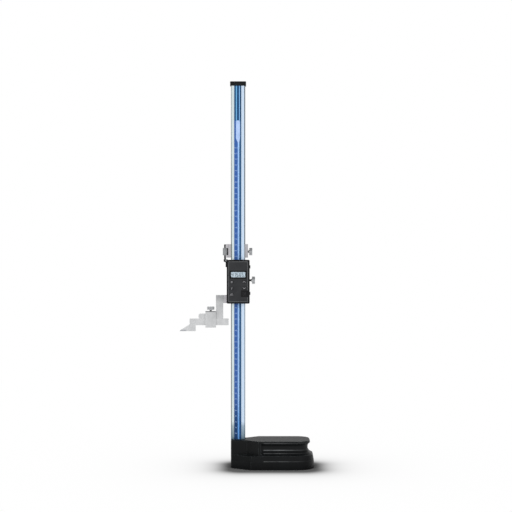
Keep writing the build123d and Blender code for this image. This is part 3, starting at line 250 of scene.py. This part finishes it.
def column_edges(tree, colour):
    """Ground steel with painted light: a painted bluer reflection on the right of its face, painted dark
    reflections on its bevelled edges, and painted shade and reflection of the black base at the foot.
    """
    x, _, z = tree.where()
    forward = tree.span(tree.facing()[1], *FACING_FRONT)
    blue_reflection = tree.times(tree.span(x, *BLUE_REFLECTION_SPAN), forward)
    # painted bluer reflection on the right of the face
    colour = tree.mix(blue_reflection, colour, rgb("D0E3F8"))
    left_end, right_end = column_low[0] + BEVEL_REFLECTION_BAND, column_high[0] - BEVEL_REFLECTION_BAND
    left = tree.span(x, left_end + EDGE_BLUR, left_end - EDGE_BLUR)
    right = tree.span(x, right_end - EDGE_BLUR, right_end + EDGE_BLUR)
    left = tree.times(left, tree.span(z, *LEFT_FADE))
    right = tree.times(right, tree.span(z, *RIGHT_FADE))
    bevel_reflection = tree.times(tree.math("ADD", left, right), forward)
    # painted dark reflections on the bevelled edges
    colour = tree.mix(bevel_reflection, colour, rgb("565C5C"))
    above = tree.math("SUBTRACT", z, base_high[2])
    shaded = tree.math("ADD", tree.span(above, *FOOT_SHADE), tree.span(above, *FOOT_DEEPER))
    # painted shade and reflection of the black base at the foot
    return tree.mix(shaded, colour, rgb("5E7884"))


# ------------------------------------------------------------------ painters of the sliding parts
LIP_SHADE_BAND = 3.6          # painted shade along the lips' inner edges over the column's edges
LIP_SHADE_TONES = ("5E655E", "828884")
DIM_TONE, DIM_SHARE = "A0A0A4", 0.5     # of the right half


def carriage_lips(tree, colour):
    """Satin chrome with painted shade where the lips end over the column's bevelled edges, and darker
    towards the right.
    """
    x, y, _ = tree.where()
    in_front = tree.math("LESS_THAN", y, column_low[1])
    middles = (column_low[0] + LIP_SHADE_BAND / 2, column_high[0] - LIP_SHADE_BAND / 2)
    for middle, tone in zip(middles, LIP_SHADE_TONES):
        band = tree.math("LESS_THAN", tree.off(x, middle), LIP_SHADE_BAND / 2)
        # painted shade in the gap between lip and column
        colour = tree.mix(tree.times(band, in_front), colour, rgb(tone))
    return tree.mix(tree.span(x, 0.0, column_high[0], 0.0, DIM_SHARE), colour, rgb(DIM_TONE))


TOP_SHADES = {           # painted shade below a node's top; node: where it starts and ends below the node's top, how dark, its tone
    "scriber_clamp": (3.0, 1.6, 0.8, "6A6C6E"),
    "jaw": (26.0, 8.0, 0.6, "98999B"),
}


def top_painter(node):
    """Painter for blasted steel with painted shade towards its upper edge."""
    top = box_mm(node)[1][2]
    start, end, share, tone = TOP_SHADES[node]

    def paint(tree, colour):
        height = tree.where()[2]
        # painted shade towards the top
        return tree.mix(tree.span(height, top - start, top - end, 0.0, share), colour, rgb(tone))
    return paint


THUMB_AXES = {"carriage_clamp_screw": 0, "slider_clamp_screw": 0, "scriber_clamp_screw": 2}
THUMB_HEAD = 10.8       # height of a thumb screw's head
STEM_REACH = 3.9        # from the axis, just past the stem's surface
TURNING_MARKS = 9.0     # turning marks on the heads' faces: radians per mm
TURNING_SHARE = 0.22


def stem_painter(node):
    """Painter for a thumb screw: the head is bright and finely turned, and the stem is black."""
    axis = THUMB_AXES[node]
    centre = middle_of(node)
    head_from = box_mm(node)[1][axis] - THUMB_HEAD

    def paint(tree, colour):
        places = tree.where()
        squares = [tree.math("POWER", tree.off(places[i], centre[i]), 2.0) for i in range(3) if i != axis]
        distance = tree.math("SQRT", tree.math("ADD", *squares))
        within = tree.math("LESS_THAN", distance, STEM_REACH)
        below = tree.math("LESS_THAN", places[axis], head_from)
        ring_marks = tree.math("SINE", tree.times(distance, TURNING_MARKS))
        turned = tree.mix(tree.span(ring_marks, -1.0, 1.0, 0.0, TURNING_SHARE), colour, rgb("77797B"))
        return tree.mix(tree.times(within, below), turned, rgb("0C0D0E"))
    return paint


# ------------------------------------------------------------------ painter of the base: painted highlights
HIGHLIGHT_START = (86.0, 92.0)               # the painted highlight lines along the grip begin between these places
HIGHLIGHT_END = (135.0, 225.0, 1.0, 0.15)    # and fade between these, from one share to the other
HIGHLIGHT_PATCHES = 36.0                     # per metre
PATCH_STRETCH = (1, 1, 0.2)
HIGHLIGHT_LEAST = 0.35                       # share of the painted highlight between the patches
HIGHLIGHT_LINES = (                          # height, reach, share
    (90.5, 3.6, 0.22),
    (66.5, 2.2, 0.75),
    (56.0, 1.8, 0.35),
    (30.0, 2.0, 0.40),
)


def grip_wear(tree, colour):
    """Enamel with painted highlights in thin uneven lighter lines along the finger grip and the flange.
    """
    x, _, z = tree.where()
    patches = tree.noise(HIGHLIGHT_PATCHES, detail=4.0, stretch=PATCH_STRETCH)
    patchy = tree.span(patches, *PATCH_SPAN, HIGHLIGHT_LEAST, 1.0)
    along = tree.times(tree.times(tree.span(x, *HIGHLIGHT_START), tree.span(x, *HIGHLIGHT_END)), patchy)
    for height, reach, share in HIGHLIGHT_LINES:
        line = tree.span(tree.off(z, height), 0.0, reach, share, 0.0)
        # painted highlight line
        colour = tree.mix(tree.times(line, along), colour, rgb("9A9C9E"))
    return colour


# ------------------------------------------------------------------ finishes, by slot
finishes = {
    # the enamel's lighter edges are painted highlights along the base's edges, patchy like wear; its
    # painter paints highlight lines on the grip
    "cast_paint": finish("enamel", ("0B0C0D", "131516"), (0.40, 0.54), specular=0.16, blotch=9.0,
                         grain=1400.0, bump=0.35, depth=0.06, streak=0.22, waves=(110.0, 0.08),
                         edge_wear_and_highlight=("5E6266", 0.5, 2.4), painter=grip_wear),
    "column_steel": finish("ground_steel", ("D2E0E2", "DEEAEC"), (0.26, 0.42), metal=0.8, blotch=5.0,
                           grain=2600.0, stretch=(1, 1, 0.012), bump=0.22, painter=column_edges),
    "scale_blue": finish("scale_film", ("0E5A9C", "0E5A9C"), (0.24, 0.36), specular=0.2, grain=1500.0,
                         bump=0.08, streak=0.06, painter=strip_bands),
    "cap_plastic": finish("cap_plastic", ("08090A", "101112"), (0.38, 0.55), specular=0.2,
                          grain=2200.0, bump=0.35, depth=0.04, edge_wear_and_highlight=("3A3A3C", 0.4, 0.8)),
    "carriage_steel": finish("satin_chrome", ("B8B6BA", "CCCACE"), (0.32, 0.48), metal=0.7, blotch=22.0,
                             stretch=(0.05, 1, 1), edge_wear_and_highlight=("F0F0F2", 0.6, 0.6), painter=carriage_lips),
    "scriber_steel": finish("ground_scriber", ("C6C7C8", "D8D9DA"), (0.34, 0.50), metal=0.45,
                            blotch=26.0, stretch=(0.03, 1, 1), streak=0.12, edge_wear_and_highlight=("F0F0F2", 0.5, 0.5)),
    "nut_steel": finish("fluted_nut", ("96989A", "B4B6B8"), (0.22, 0.36), metal=1.0, blotch=60.0,
                        streak=0.2, edge_wear_and_highlight=("DDDFE0", 0.6, 0.3)),
    "dark_steel": finish("black_oxide", ("09090A", "111213"), (0.42, 0.58), specular=0.15, blotch=60.0,
                         bump=0.25, edge_wear_and_highlight=("3E4042", 0.4, 0.4)),
    "brass": finish("brass", ("A8873E", "C2A254"), (0.30, 0.46), metal=0.9, streak=0.12),
    "screw_steel": finish("zinc_screw", ("7C7E80", "989A9C"), (0.26, 0.44), metal=0.85, blotch=120.0,
                          depth=0.01, streak=0.2, edge_wear_and_highlight=("C4C6C8", 0.6, 0.3)),
    # the housing's lighter edges are a painted highlight along the shell's rim
    "housing_plastic": finish("spark_plastic", ("0C0C0E", "151517"), (0.40, 0.58), specular=0.18,
                              bump=0.6, depth=0.05, streak=0.16, edge_wear_and_highlight=("5A5B5E", 0.6, 0.8)),
    "face_film": finish("face_film", ("2B2C2E", "333436"), (0.44, 0.58), specular=0.18, grain=3800.0,
                        bump=0.35, streak=0.08, edge_wear_and_highlight=("5E5E62", 0.4, 0.3)),
    "lcd_grey": finish("crystal_panel", ("BFD0DC", "CFDEE8"), (0.30, 0.40), specular=0.2, blotch=24.0,
                       grain=5200.0, bump=0.1, depth=0.01, streak=0.05),
    "board_green": finish("solder_resist", ("1B5A34", "24683E"), (0.30, 0.44), blotch=60.0),
    "key_rubber": finish("key_rubber", ("242426", "2C2C2E"), (0.50, 0.68), specular=0.18, blotch=60.0,
                         grain=3600.0, bump=0.5, depth=0.03, streak=0.12, edge_wear_and_highlight=("464648", 0.4, 0.5)),
    "cell_steel": finish("nickel_cell", ("B4B6B8", "C6C8CA"), (0.24, 0.38), metal=0.95),
    "carbide": finish("carbide", ("A2A4A8", "B4B6BA"), (0.24, 0.40), metal=0.6, blotch=90.0,
                      grain=4200.0, streak=0.12, edge_wear_and_highlight=("D0D2D6", 0.6, 0.2)),
    "mat_rubber": finish("mat_rubber", ("7A7A7C", "88888A"), (0.55, 0.7)),
}

WINDOW_TONES = ("8FA0AC", "9FB0BC")
WINDOW_BLOTCHES = 40.0          # per metre
WINDOW_SMEARS = 700.0           # per metre
SMEAR_SPAN = (0.35, 0.7)
WINDOW_ROUGH = (0.03, 0.10)     # between the smears, in them


def window_finish():
    """Clear plate: the panel shows through it, and it keeps a thin sheen."""
    material = bpy.data.materials.new("clear_window")
    tree = Tree(material)
    blotches = tree.span(tree.noise(WINDOW_BLOTCHES), *GRAIN_SPAN)
    tint = tree.mix(blotches, *[rgb(tone) for tone in WINDOW_TONES])
    smears = tree.noise(WINDOW_SMEARS, detail=4.0)
    tree.show(tree.add("BsdfPrincipled", {
        "Base Color": tint, "Roughness": tree.span(smears, *SMEAR_SPAN, *WINDOW_ROUGH), "Alpha": 0.08,
        "Specular IOR Level": 0.4}))
    return material


def thumb_finish(node):
    return finish(node + "_finish", ("B4B6B8", "D0D2D4"), (0.14, 0.28), metal=1.0, depth=0.01,
                  streak=0.12, edge_wear_and_highlight=("F4F5F6", 0.5, 0.4), painter=stem_painter(node))


def blasted_finish(node):
    return finish(node + "_finish", ("C0C1C2", "D2D3D4"), (0.44, 0.60), metal=0.3, blotch=30.0,
                  grain=4200.0, bump=0.45, depth=0.03, edge_wear_and_highlight=("F0F0F1", 0.5, 0.6),
                  painter=top_painter(node))


def ink(name, tones):
    """Printing ink."""
    return finish(name, tones, (0.36, 0.52), specular=0.15, blotch=60.0, grain=4000.0, bump=0.1,
                  depth=0.01, streak=0.08)


finishes["window_glass"] = window_finish()
own_finishes = {"knob_chrome": thumb_finish, "jaw_steel": blasted_finish}   # these are made for a node

for row in frame["record"]["subparts"]:
    node, slot = row["node"], row["material_slot"]
    mesh = frame["nodes"][node].data
    mesh.materials.clear()
    mesh.materials.append(own_finishes[slot](node) if slot in own_finishes else finishes[slot])

# ------------------------------------------------------------------ making pieces
CAP_HEIGHT = 0.69       # of the built-in letters, as a share of their size
LETTER_GAP = 0.16       # as a share of the letters' height
LETTER_CURVES = 2       # steps in each of a letter's curves
BOLD = 0.01             # bold strokes are this much wider on each side, as a share of the size
PRINT_LIFT = 0.03       # printed marks stand this far in front of what carries them
glyphs = {}


def keep(name, shape, body, material):
    """Makes a piece from a bmesh: it rides on body and takes that material."""
    data = bpy.data.meshes.new(name)
    shape.to_mesh(data)
    shape.free()
    data.materials.append(material)
    piece = bpy.data.objects.new(name, data)
    scene.collection.objects.link(piece)
    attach(piece, body)


def vertex(shape, x, y, z):
    return shape.verts.new((x * MM, y * MM, z * MM))


def flat(shape, corners, y):
    """A flat face in the plane y, from corners (x, z), anticlockwise seen from the front."""
    shape.faces.new([vertex(shape, x, y, z) for x, z in corners])


def bar(shape, left, right, low, high, y):
    flat(shape, [(left, low), (right, low), (right, high), (left, high)], y)


def ring(shape, outer, inner, y):
    """Four bars between two boxes, each given as left, right, lowest and highest place."""
    left, right, low, high = outer
    inner_left, inner_right, inner_low, inner_high = inner
    bar(shape, left, right, inner_high, high, y)
    bar(shape, left, right, low, inner_low, y)
    bar(shape, left, inner_left, inner_low, inner_high, y)
    bar(shape, inner_right, right, inner_low, inner_high, y)


def inset(box, width):
    left, right, low, high = box
    return left + width, right - width, low + width, high - width


def glyph(sign, bold):
    """One letter or digit at a height of 1: its points, its faces and its width."""
    if (sign, bold) not in glyphs:
        curve = bpy.data.curves.new("glyph", "FONT")
        curve.body = sign
        curve.resolution_u = LETTER_CURVES
        curve.offset = bold
        letter = bpy.data.objects.new("glyph", curve)
        scene.collection.objects.link(letter)
        mesh = letter.to_mesh()
        points = [(v.co.x / CAP_HEIGHT, v.co.y / CAP_HEIGHT) for v in mesh.vertices]
        faces = [tuple(p.vertices) for p in mesh.polygons]
        letter.to_mesh_clear()
        bpy.data.objects.remove(letter)
        bpy.data.curves.remove(curve)
        left = min(x for x, _ in points)
        width = max(x for x, _ in points) - left
        glyphs[sign, bold] = [(x - left, z) for x, z in points], faces, width
    return glyphs[sign, bold]


def word(shape, text, middle, low, height, y, bold=0.0):
    """Letters about x = middle, standing on z = low."""
    length = sum(glyph(sign, bold)[2] + LETTER_GAP for sign in text) - LETTER_GAP
    left = middle - length * height / 2
    for sign in text:
        points, faces, width = glyph(sign, bold)
        verts = [vertex(shape, left + px * height, y, low + pz * height) for px, pz in points]
        for corners in faces:
            shape.faces.new([verts[i] for i in corners])
        left += (width + LETTER_GAP) * height


# ------------------------------------------------------------------ scale: divisions and numbers
# The slider frame's lower edge reads the height of the scriber's measuring face.
SCALE_ZERO = box_mm("slider_frame")[0][2] - box_mm("scriber")[0][2]
SCALE_LENGTH = 1020
TICK_WIDTH = 0.28
TICK_LENGTHS = {10: 4.6, 5: 3.2, 1: 2.0}    # of the divisions at multiples of 10, 5 and 1
NUMBER_STEP = 20
NUMBER_HEIGHT = 4.4
strip_face = strip_low[1] - PRINT_LIFT

ticks = bmesh.new()
for step in range(1, SCALE_LENGTH + 1):
    length = next(TICK_LENGTHS[every] for every in TICK_LENGTHS if step % every == 0)
    low = SCALE_ZERO + step - TICK_WIDTH / 2
    bar(ticks, LINE_RIGHT - length, LINE_RIGHT, low, low + TICK_WIDTH, strip_face)
keep("scale_divisions", ticks, "stand", ink("dark_ink", ("24467C", "2C5088")))

numbers = bmesh.new()
for step in range(NUMBER_STEP, SCALE_LENGTH + 1, NUMBER_STEP):
    low = SCALE_ZERO + step - NUMBER_HEIGHT / 2
    word(numbers, str(step), (strip_low[0] + LINE_LEFT) / 2, low, NUMBER_HEIGHT, strip_face)
keep("scale_numbers", numbers, "stand", ink("light_ink", ("94B0DE", "A4BEE8")))

# ------------------------------------------------------------------ scale: bare plate at its top
PLATE_LEFT, PLATE_RIGHT = strip_low[0] + STRIPE_STARTS[1], strip_low[0] + STRIPE_STARTS[-1]
PLATE_TOP, PLATE_SHOULDER, PLATE_TIP = STRIPES_FROM, 1152.0, 1136.0
PLATE_CORNER = 3.0
PLATE_TIP_WIDTH = 5.0
tip_middle = (LINE_LEFT + LINE_RIGHT) / 2

plate = bmesh.new()
flat(plate, [
    (PLATE_LEFT, PLATE_SHOULDER),
    (tip_middle - PLATE_TIP_WIDTH / 2, PLATE_TIP),
    (tip_middle + PLATE_TIP_WIDTH / 2, PLATE_TIP),
    (PLATE_RIGHT, PLATE_SHOULDER),
    (PLATE_RIGHT, PLATE_TOP - PLATE_CORNER),
    (PLATE_RIGHT - PLATE_CORNER, PLATE_TOP),
    (PLATE_LEFT + PLATE_CORNER, PLATE_TOP),
    (PLATE_LEFT, PLATE_TOP - PLATE_CORNER),
], strip_face - PRINT_LIFT)
keep("scale_plate", plate, "stand", ink("plate_film", ("A2BCE8", "B4CCF4")))

# ------------------------------------------------------------------ display: reading
READING = "475.65"
SEGMENTS = {"4": "fgbc", "7": "abc", "5": "afgcd", "6": "afgedc"}
SEGMENT_WIDTH = 1.8
SEGMENT_GAP = 0.2
DIGIT_WIDTH, DIGIT_HEIGHT, DIGIT_PITCH = 5.2, 12.0, 8.3
DIGIT_SLANT = 0.08
READING_INSET = 4.2     # from the panel's left edge to the first digit
READING_DROP = 0.6      # of the digits' middle below the panel's
POINT_WIDTH = 1.7
POINT_STEP = 2.1        # from the point to the next digit
UNIT_HEIGHT = 2.4
UNIT_RIGHT = 0.9        # of the unit's middle from where a next digit would start
UNIT_DROP = 0.6         # of the unit below the foot of the digits


def segment_digit(shape, sign, left, low, y):
    """One seven-segment digit of six-cornered bars, leaning a little."""
    half, end = DIGIT_HEIGHT / 2, SEGMENT_WIDTH / 2
    levels = {"a": DIGIT_HEIGHT, "g": half, "d": 0.0}
    uprights = {"f": (0.0, half), "b": (DIGIT_WIDTH, half), "e": (0.0, 0.0), "c": (DIGIT_WIDTH, 0.0)}
    for name in SEGMENTS[sign]:
        length = DIGIT_WIDTH if name in levels else half
        start, stop = SEGMENT_GAP, length - SEGMENT_GAP
        hexagon = [(start, 0.0), (start + end, -end), (stop - end, -end),
                   (stop, 0.0), (stop - end, end), (start + end, end)]
        if name in levels:
            outline = [(along, levels[name] + across) for along, across in hexagon]
        else:
            side, foot = uprights[name]
            outline = [(side - across, foot + along) for along, across in hexagon]
        flat(shape, [(left + px + pz * DIGIT_SLANT, low + pz) for px, pz in outline], y)


panel_low = box_mm("lcd_panel")[0]
panel_x, _, panel_z = middle_of("lcd_panel")
reading_y = panel_low[1] - PRINT_LIFT
reading_low = panel_z - READING_DROP - DIGIT_HEIGHT / 2
cursor = panel_low[0] + READING_INSET

reading = bmesh.new()
for sign in READING:
    if sign == ".":
        bar(reading, cursor - POINT_WIDTH, cursor,
            reading_low - SEGMENT_WIDTH / 2, reading_low + SEGMENT_WIDTH / 2, reading_y)
        cursor += POINT_STEP
    else:
        segment_digit(reading, sign, cursor, reading_low, reading_y)
        cursor += DIGIT_PITCH
word(reading, "mm", cursor + UNIT_RIGHT, reading_low - UNIT_DROP, UNIT_HEIGHT, reading_y, BOLD)
keep("lcd_reading", reading, "slider", ink("segments", ("14181C", "1C2126")))

# ------------------------------------------------------------------ display: printed border, and a painted highlight on the face plate's rim
SIGHT_WIDTH, SIGHT_HEIGHT = 50.5, 18.8      # what the printed border leaves clear
BEZEL_HIGHLIGHT_INSET, BEZEL_HIGHLIGHT_WIDTH = 0.3, 0.9

sight = (panel_x - SIGHT_WIDTH / 2, panel_x + SIGHT_WIDTH / 2,
         panel_z - SIGHT_HEIGHT / 2, panel_z + SIGHT_HEIGHT / 2)
border = bmesh.new()
ring(border, front_box("lcd_window"), sight, box_mm("lcd_window")[0][1] - PRINT_LIFT)
keep("lcd_border", border, "slider", ink("border_ink", ("0A0A0C", "101012")))

# a light line on the face plate's rim: a painted highlight of its bevel
outer = inset(front_box("face_plate"), BEZEL_HIGHLIGHT_INSET)
bezel_highlight = bmesh.new()
ring(bezel_highlight, outer, inset(outer, BEZEL_HIGHLIGHT_WIDTH), box_mm("face_plate")[0][1] - PRINT_LIFT)
keep("bezel_highlight_line", bezel_highlight, "slider", ink("bezel_highlight_ink", ("76787A", "828486")))

# ------------------------------------------------------------------ key labels
LABEL_HEIGHT = 3.1
LABEL_GAP = 0.8
WORDS = {"key_left_top": ("ON", "OFF"), "key_left_middle": ("mm", "in"),
         "key_left_bottom": ("SET", "ZERO")}
CHEVRONS = {"key_right_top": 1, "key_right_bottom": -1}     # upwards or downwards
CHEVRON_HALF, CHEVRON_RISE, CHEVRON_STROKE = 4.6, 3.4, 1.7
key_ink = ink("key_ink", ("9A9A9E", "A8A8AC"))


def key_face(key):
    """x and z of a key's middle, and the y of what is printed on it."""
    x, _, z = middle_of(key)
    return x, z, box_mm(key)[0][1] - PRINT_LIFT


for key, (upper, lower) in WORDS.items():
    x, z, y = key_face(key)
    label = bmesh.new()
    word(label, upper, x, z + LABEL_GAP / 2, LABEL_HEIGHT, y, BOLD)
    word(label, lower, x, z - LABEL_GAP / 2 - LABEL_HEIGHT, LABEL_HEIGHT, y, BOLD)
    keep(key + "_label", label, key, key_ink)

for key, way in CHEVRONS.items():
    x, z, y = key_face(key)
    label = bmesh.new()
    foot, tip = z - way * CHEVRON_RISE / 2, z + way * CHEVRON_RISE / 2
    thick = CHEVRON_STROKE / 2
    for side in (-1, 1):
        end = x + side * CHEVRON_HALF
        arm = [(end, foot - thick), (x, tip - thick), (x, tip + thick), (end, foot + thick)]
        flat(label, arm[::-side], y)
    keep(key + "_label", label, key, key_ink)

# ------------------------------------------------------------------ thread of the fine adjustment
THREAD_PITCH = 1.0
THREAD_HEIGHT = 0.35
THREAD_SINK = 0.05                          # the ridge's foot is this deep in the spindle
THREAD_FOOT, THREAD_CREST = 0.45, 0.08      # half widths of the ridge, as shares of the pitch
THREAD_STEPS = 20                           # per turn
THREAD_START = 1.0                          # above the bracket
THREAD_END = 1.5                            # below the spindle's top


def thread(name, centre, radius, low, high, body, slot):
    """Helical ridge on an upright screw, running out at both ends."""
    shape = bmesh.new()
    turns = (high - low) / THREAD_PITCH
    steps = int(turns * THREAD_STEPS)
    foot, crest = THREAD_PITCH * THREAD_FOOT, THREAD_PITCH * THREAD_CREST
    rows = []
    for i in range(steps + 1):
        share = i / steps
        angle = 2 * pi * turns * share
        height = low + (high - low) * share
        outer_radius = radius + THREAD_HEIGHT * min(1.0, share * turns, (1 - share) * turns)
        section = [(radius - THREAD_SINK, -foot), (outer_radius, -crest),
                   (outer_radius, crest), (radius - THREAD_SINK, foot)]
        rows.append([vertex(shape, centre[0] + r * cos(angle), centre[1] + r * sin(angle), height + rise)
                     for r, rise in section])
    for one, two in zip(rows, rows[1:]):
        for j in range(len(one) - 1):
            shape.faces.new([one[j], two[j], two[j + 1], one[j + 1]])
    keep(name, shape, body, finishes[slot])


spindle_low, spindle_high = box_mm("adjust_spindle")
spindle_radius = min(spindle_high[0] - spindle_low[0], spindle_high[1] - spindle_low[1]) / 2
lug_top = box_mm("spindle_lug")[1][2]
thread("spindle_thread", middle_of("adjust_spindle"), spindle_radius, lug_top + THREAD_START,
       spindle_high[2] - THREAD_END, "slider", "dark_steel")

# ------------------------------------------------------------------ dark plate behind the adjusting nut, a painted shade for the gap there
SHADE_PLATE_THICKNESS = 0.5
SHADE_PLATE_GAP = 1.2             # between the nut's rim and the plate
SHADE_PLATE_FROM, SHADE_PLATE_TO = 0.4, 9.0     # from the carriage block's left side
SHADE_PLATE_SHORTER = 0.4         # than the nut is high
block_low = box_mm("carriage_block")[0]
nut_low, nut_high = box_mm("adjust_nut")

shade_plate_size = Vector((SHADE_PLATE_TO - SHADE_PLATE_FROM, SHADE_PLATE_THICKNESS, nut_high[2] - nut_low[2] - SHADE_PLATE_SHORTER))
shade_plate_middle = Vector((block_low[0] + (SHADE_PLATE_FROM + SHADE_PLATE_TO) / 2,
                       nut_high[1] + SHADE_PLATE_GAP + SHADE_PLATE_THICKNESS / 2,
                       (nut_low[2] + nut_high[2]) / 2))
shade_plate = bmesh.new()
bmesh.ops.create_cube(shade_plate, size=1.0)
for vert in shade_plate.verts:
    vert.co = (shade_plate_middle + vert.co * shade_plate_size) * MM
# a dark sheet standing for the shade in the nut's window
keep("nut_shade_plate", shade_plate, "carriage", finishes["dark_steel"])

# ------------------------------------------------------------------ floor
FLOOR_HALF = 15.0       # metres
# grey of the painted shadow near the base
SHADOW_TONES = ("565656", "606060")
FLOOR_PATCHES = 3.0     # per metre
WHITE = 1.0             # the strength that shows as plain white
SHADE_HALF = 50.0       # from the base's foot, where the painted shadow is halfway to plain white
SHADE_FALL = 2.2        # how sharply it turns white there
SHADE_FORWARD = 26.0    # the painted shadow reaches this much further towards the user
SHADE_CORNER = 45.0     # its corners' radius


def floor_finish():
    """White sweep with a painted shadow: grey around the base, and its own plain white further out."""
    material = bpy.data.materials.new("white_sweep")
    tree = Tree(material)
    places = tree.where()
    squares = []
    for i, forward in ((0, 0.0), (1, SHADE_FORWARD)):
        middle = (base_low[i] - forward + base_high[i]) / 2
        half_size = (base_high[i] - base_low[i] + forward) / 2 - SHADE_CORNER
        outside = tree.math("MAXIMUM", tree.math("SUBTRACT", tree.off(places[i], middle), half_size), 0.0)
        squares.append(tree.times(outside, outside))
    distance = tree.math("SQRT", tree.math("ADD", *squares))
    away = tree.math("MAXIMUM", tree.math("SUBTRACT", distance, SHADE_CORNER), 0.0)
    reach = tree.math("POWER", tree.math("DIVIDE", away, SHADE_HALF), SHADE_FALL)
    glow = tree.math("DIVIDE", reach, tree.math("ADD", reach, 1.0))
    patches = tree.span(tree.noise(FLOOR_PATCHES), *GRAIN_SPAN)
    # painted shadow: the floor's grey near the base
    shadow_grey = tree.mix(patches, *[rgb(tone) for tone in SHADOW_TONES])
    matt = tree.add("BsdfDiffuse", {"Color": shadow_grey, "Roughness": 0.9})
    bright = tree.add("Emission", {"Strength": WHITE})
    tree.show(tree.add("MixShader", {0: glow, 1: matt.outputs[0], 2: bright.outputs[0]}))
    return material


sheet = bmesh.new()
sheet.faces.new([sheet.verts.new((x * FLOOR_HALF, y * FLOOR_HALF, 0.0))
                 for x, y in ((-1, -1), (1, -1), (1, 1), (-1, 1))])
floor_mesh = bpy.data.meshes.new("floor")
sheet.to_mesh(floor_mesh)
sheet.free()
floor_mesh.materials.append(floor_finish())
floor = bpy.data.objects.new("floor", floor_mesh)
scene.collection.objects.link(floor)

# ------------------------------------------------------------------ world
PLAIN_LIGHT = 0.42          # the world's strength as a light
MIRRORED_HIGH = 0.10        # what polished parts see overhead, against 1 in front and behind
MIRRORED_SIDE = 0.20        # what they see to the left and right, where the studio has black screens
STEEP_SPAN = (0.28, 0.75)   # z of the direction, from where it darkens to where it is overhead
SIDE_SPAN = (0.70, 0.92)    # the same for x, to the sides

world = bpy.data.worlds.new("studio")
scene.world = world
sky = Tree(world)
direction = sky.add("SeparateXYZ", {0: sky.add("TexCoord").outputs["Generated"]}).outputs
overhead = sky.span(sky.off(direction[2], 0.0), *STEEP_SPAN, 1.0, MIRRORED_HIGH)
sideways = sky.span(sky.off(direction[0], 0.0), *SIDE_SPAN, 1.0, MIRRORED_SIDE)
path = sky.add("LightPath").outputs
mirror_ray = sky.math("MAXIMUM", path["Is Glossy Ray"], path["Is Transmission Ray"])
lit = sky.choose(mirror_ray, PLAIN_LIGHT, sky.times(overhead, sideways))
strength = sky.choose(path["Is Camera Ray"], lit, WHITE)
sky.show(sky.add("Background", {"Color": rgb("FFFFFF"), "Strength": strength}), "OutputWorld")

# ------------------------------------------------------------------ lamps and camera, in metres
OBJECT_MIDDLE = (0.06, 0.0, 0.65)
LAMPS = {       # place, width and height, watts
    "key_light": ((-2.4, -3.2, 2.6), (1.6, 2.4), 70),
    "fill_light": ((2.8, -2.6, 1.8), (1.8, 2.4), 42),
    "top_light": ((0.1, 0.6, 3.4), (2.0, 1.6), 45),
}
CAMERA_DISTANCE = 4.75
CAMERA_X, CAMERA_HEIGHT = 0.0628, 0.7392
CAMERA_LENS, CAMERA_SENSOR = 95.1, 36.0     # millimetres
CAMERA_REACH = 60.0


def place(data, spot, target, name):
    """Adds a lamp or camera at spot, looking at target."""
    thing = bpy.data.objects.new(name, data)
    scene.collection.objects.link(thing)
    thing.location = spot
    thing.rotation_euler = (Vector(target) - Vector(spot)).to_track_quat("-Z", "Y").to_euler()
    return thing


for name, (spot, size, watts) in LAMPS.items():
    lamp = bpy.data.lights.new(name, "AREA")
    lamp.shape = "RECTANGLE"
    lamp.size, lamp.size_y = size
    lamp.energy = watts
    place(lamp, spot, OBJECT_MIDDLE, name).visible_glossy = False

camera = bpy.data.cameras.new("camera")
camera.sensor_width = CAMERA_SENSOR
camera.lens = CAMERA_LENS
camera.clip_end = CAMERA_REACH
viewpoint = (CAMERA_X, -CAMERA_DISTANCE, CAMERA_HEIGHT)
scene.camera = place(camera, viewpoint, (CAMERA_X, 0.0, CAMERA_HEIGHT), "camera")
scene.view_settings.view_transform = "Standard"
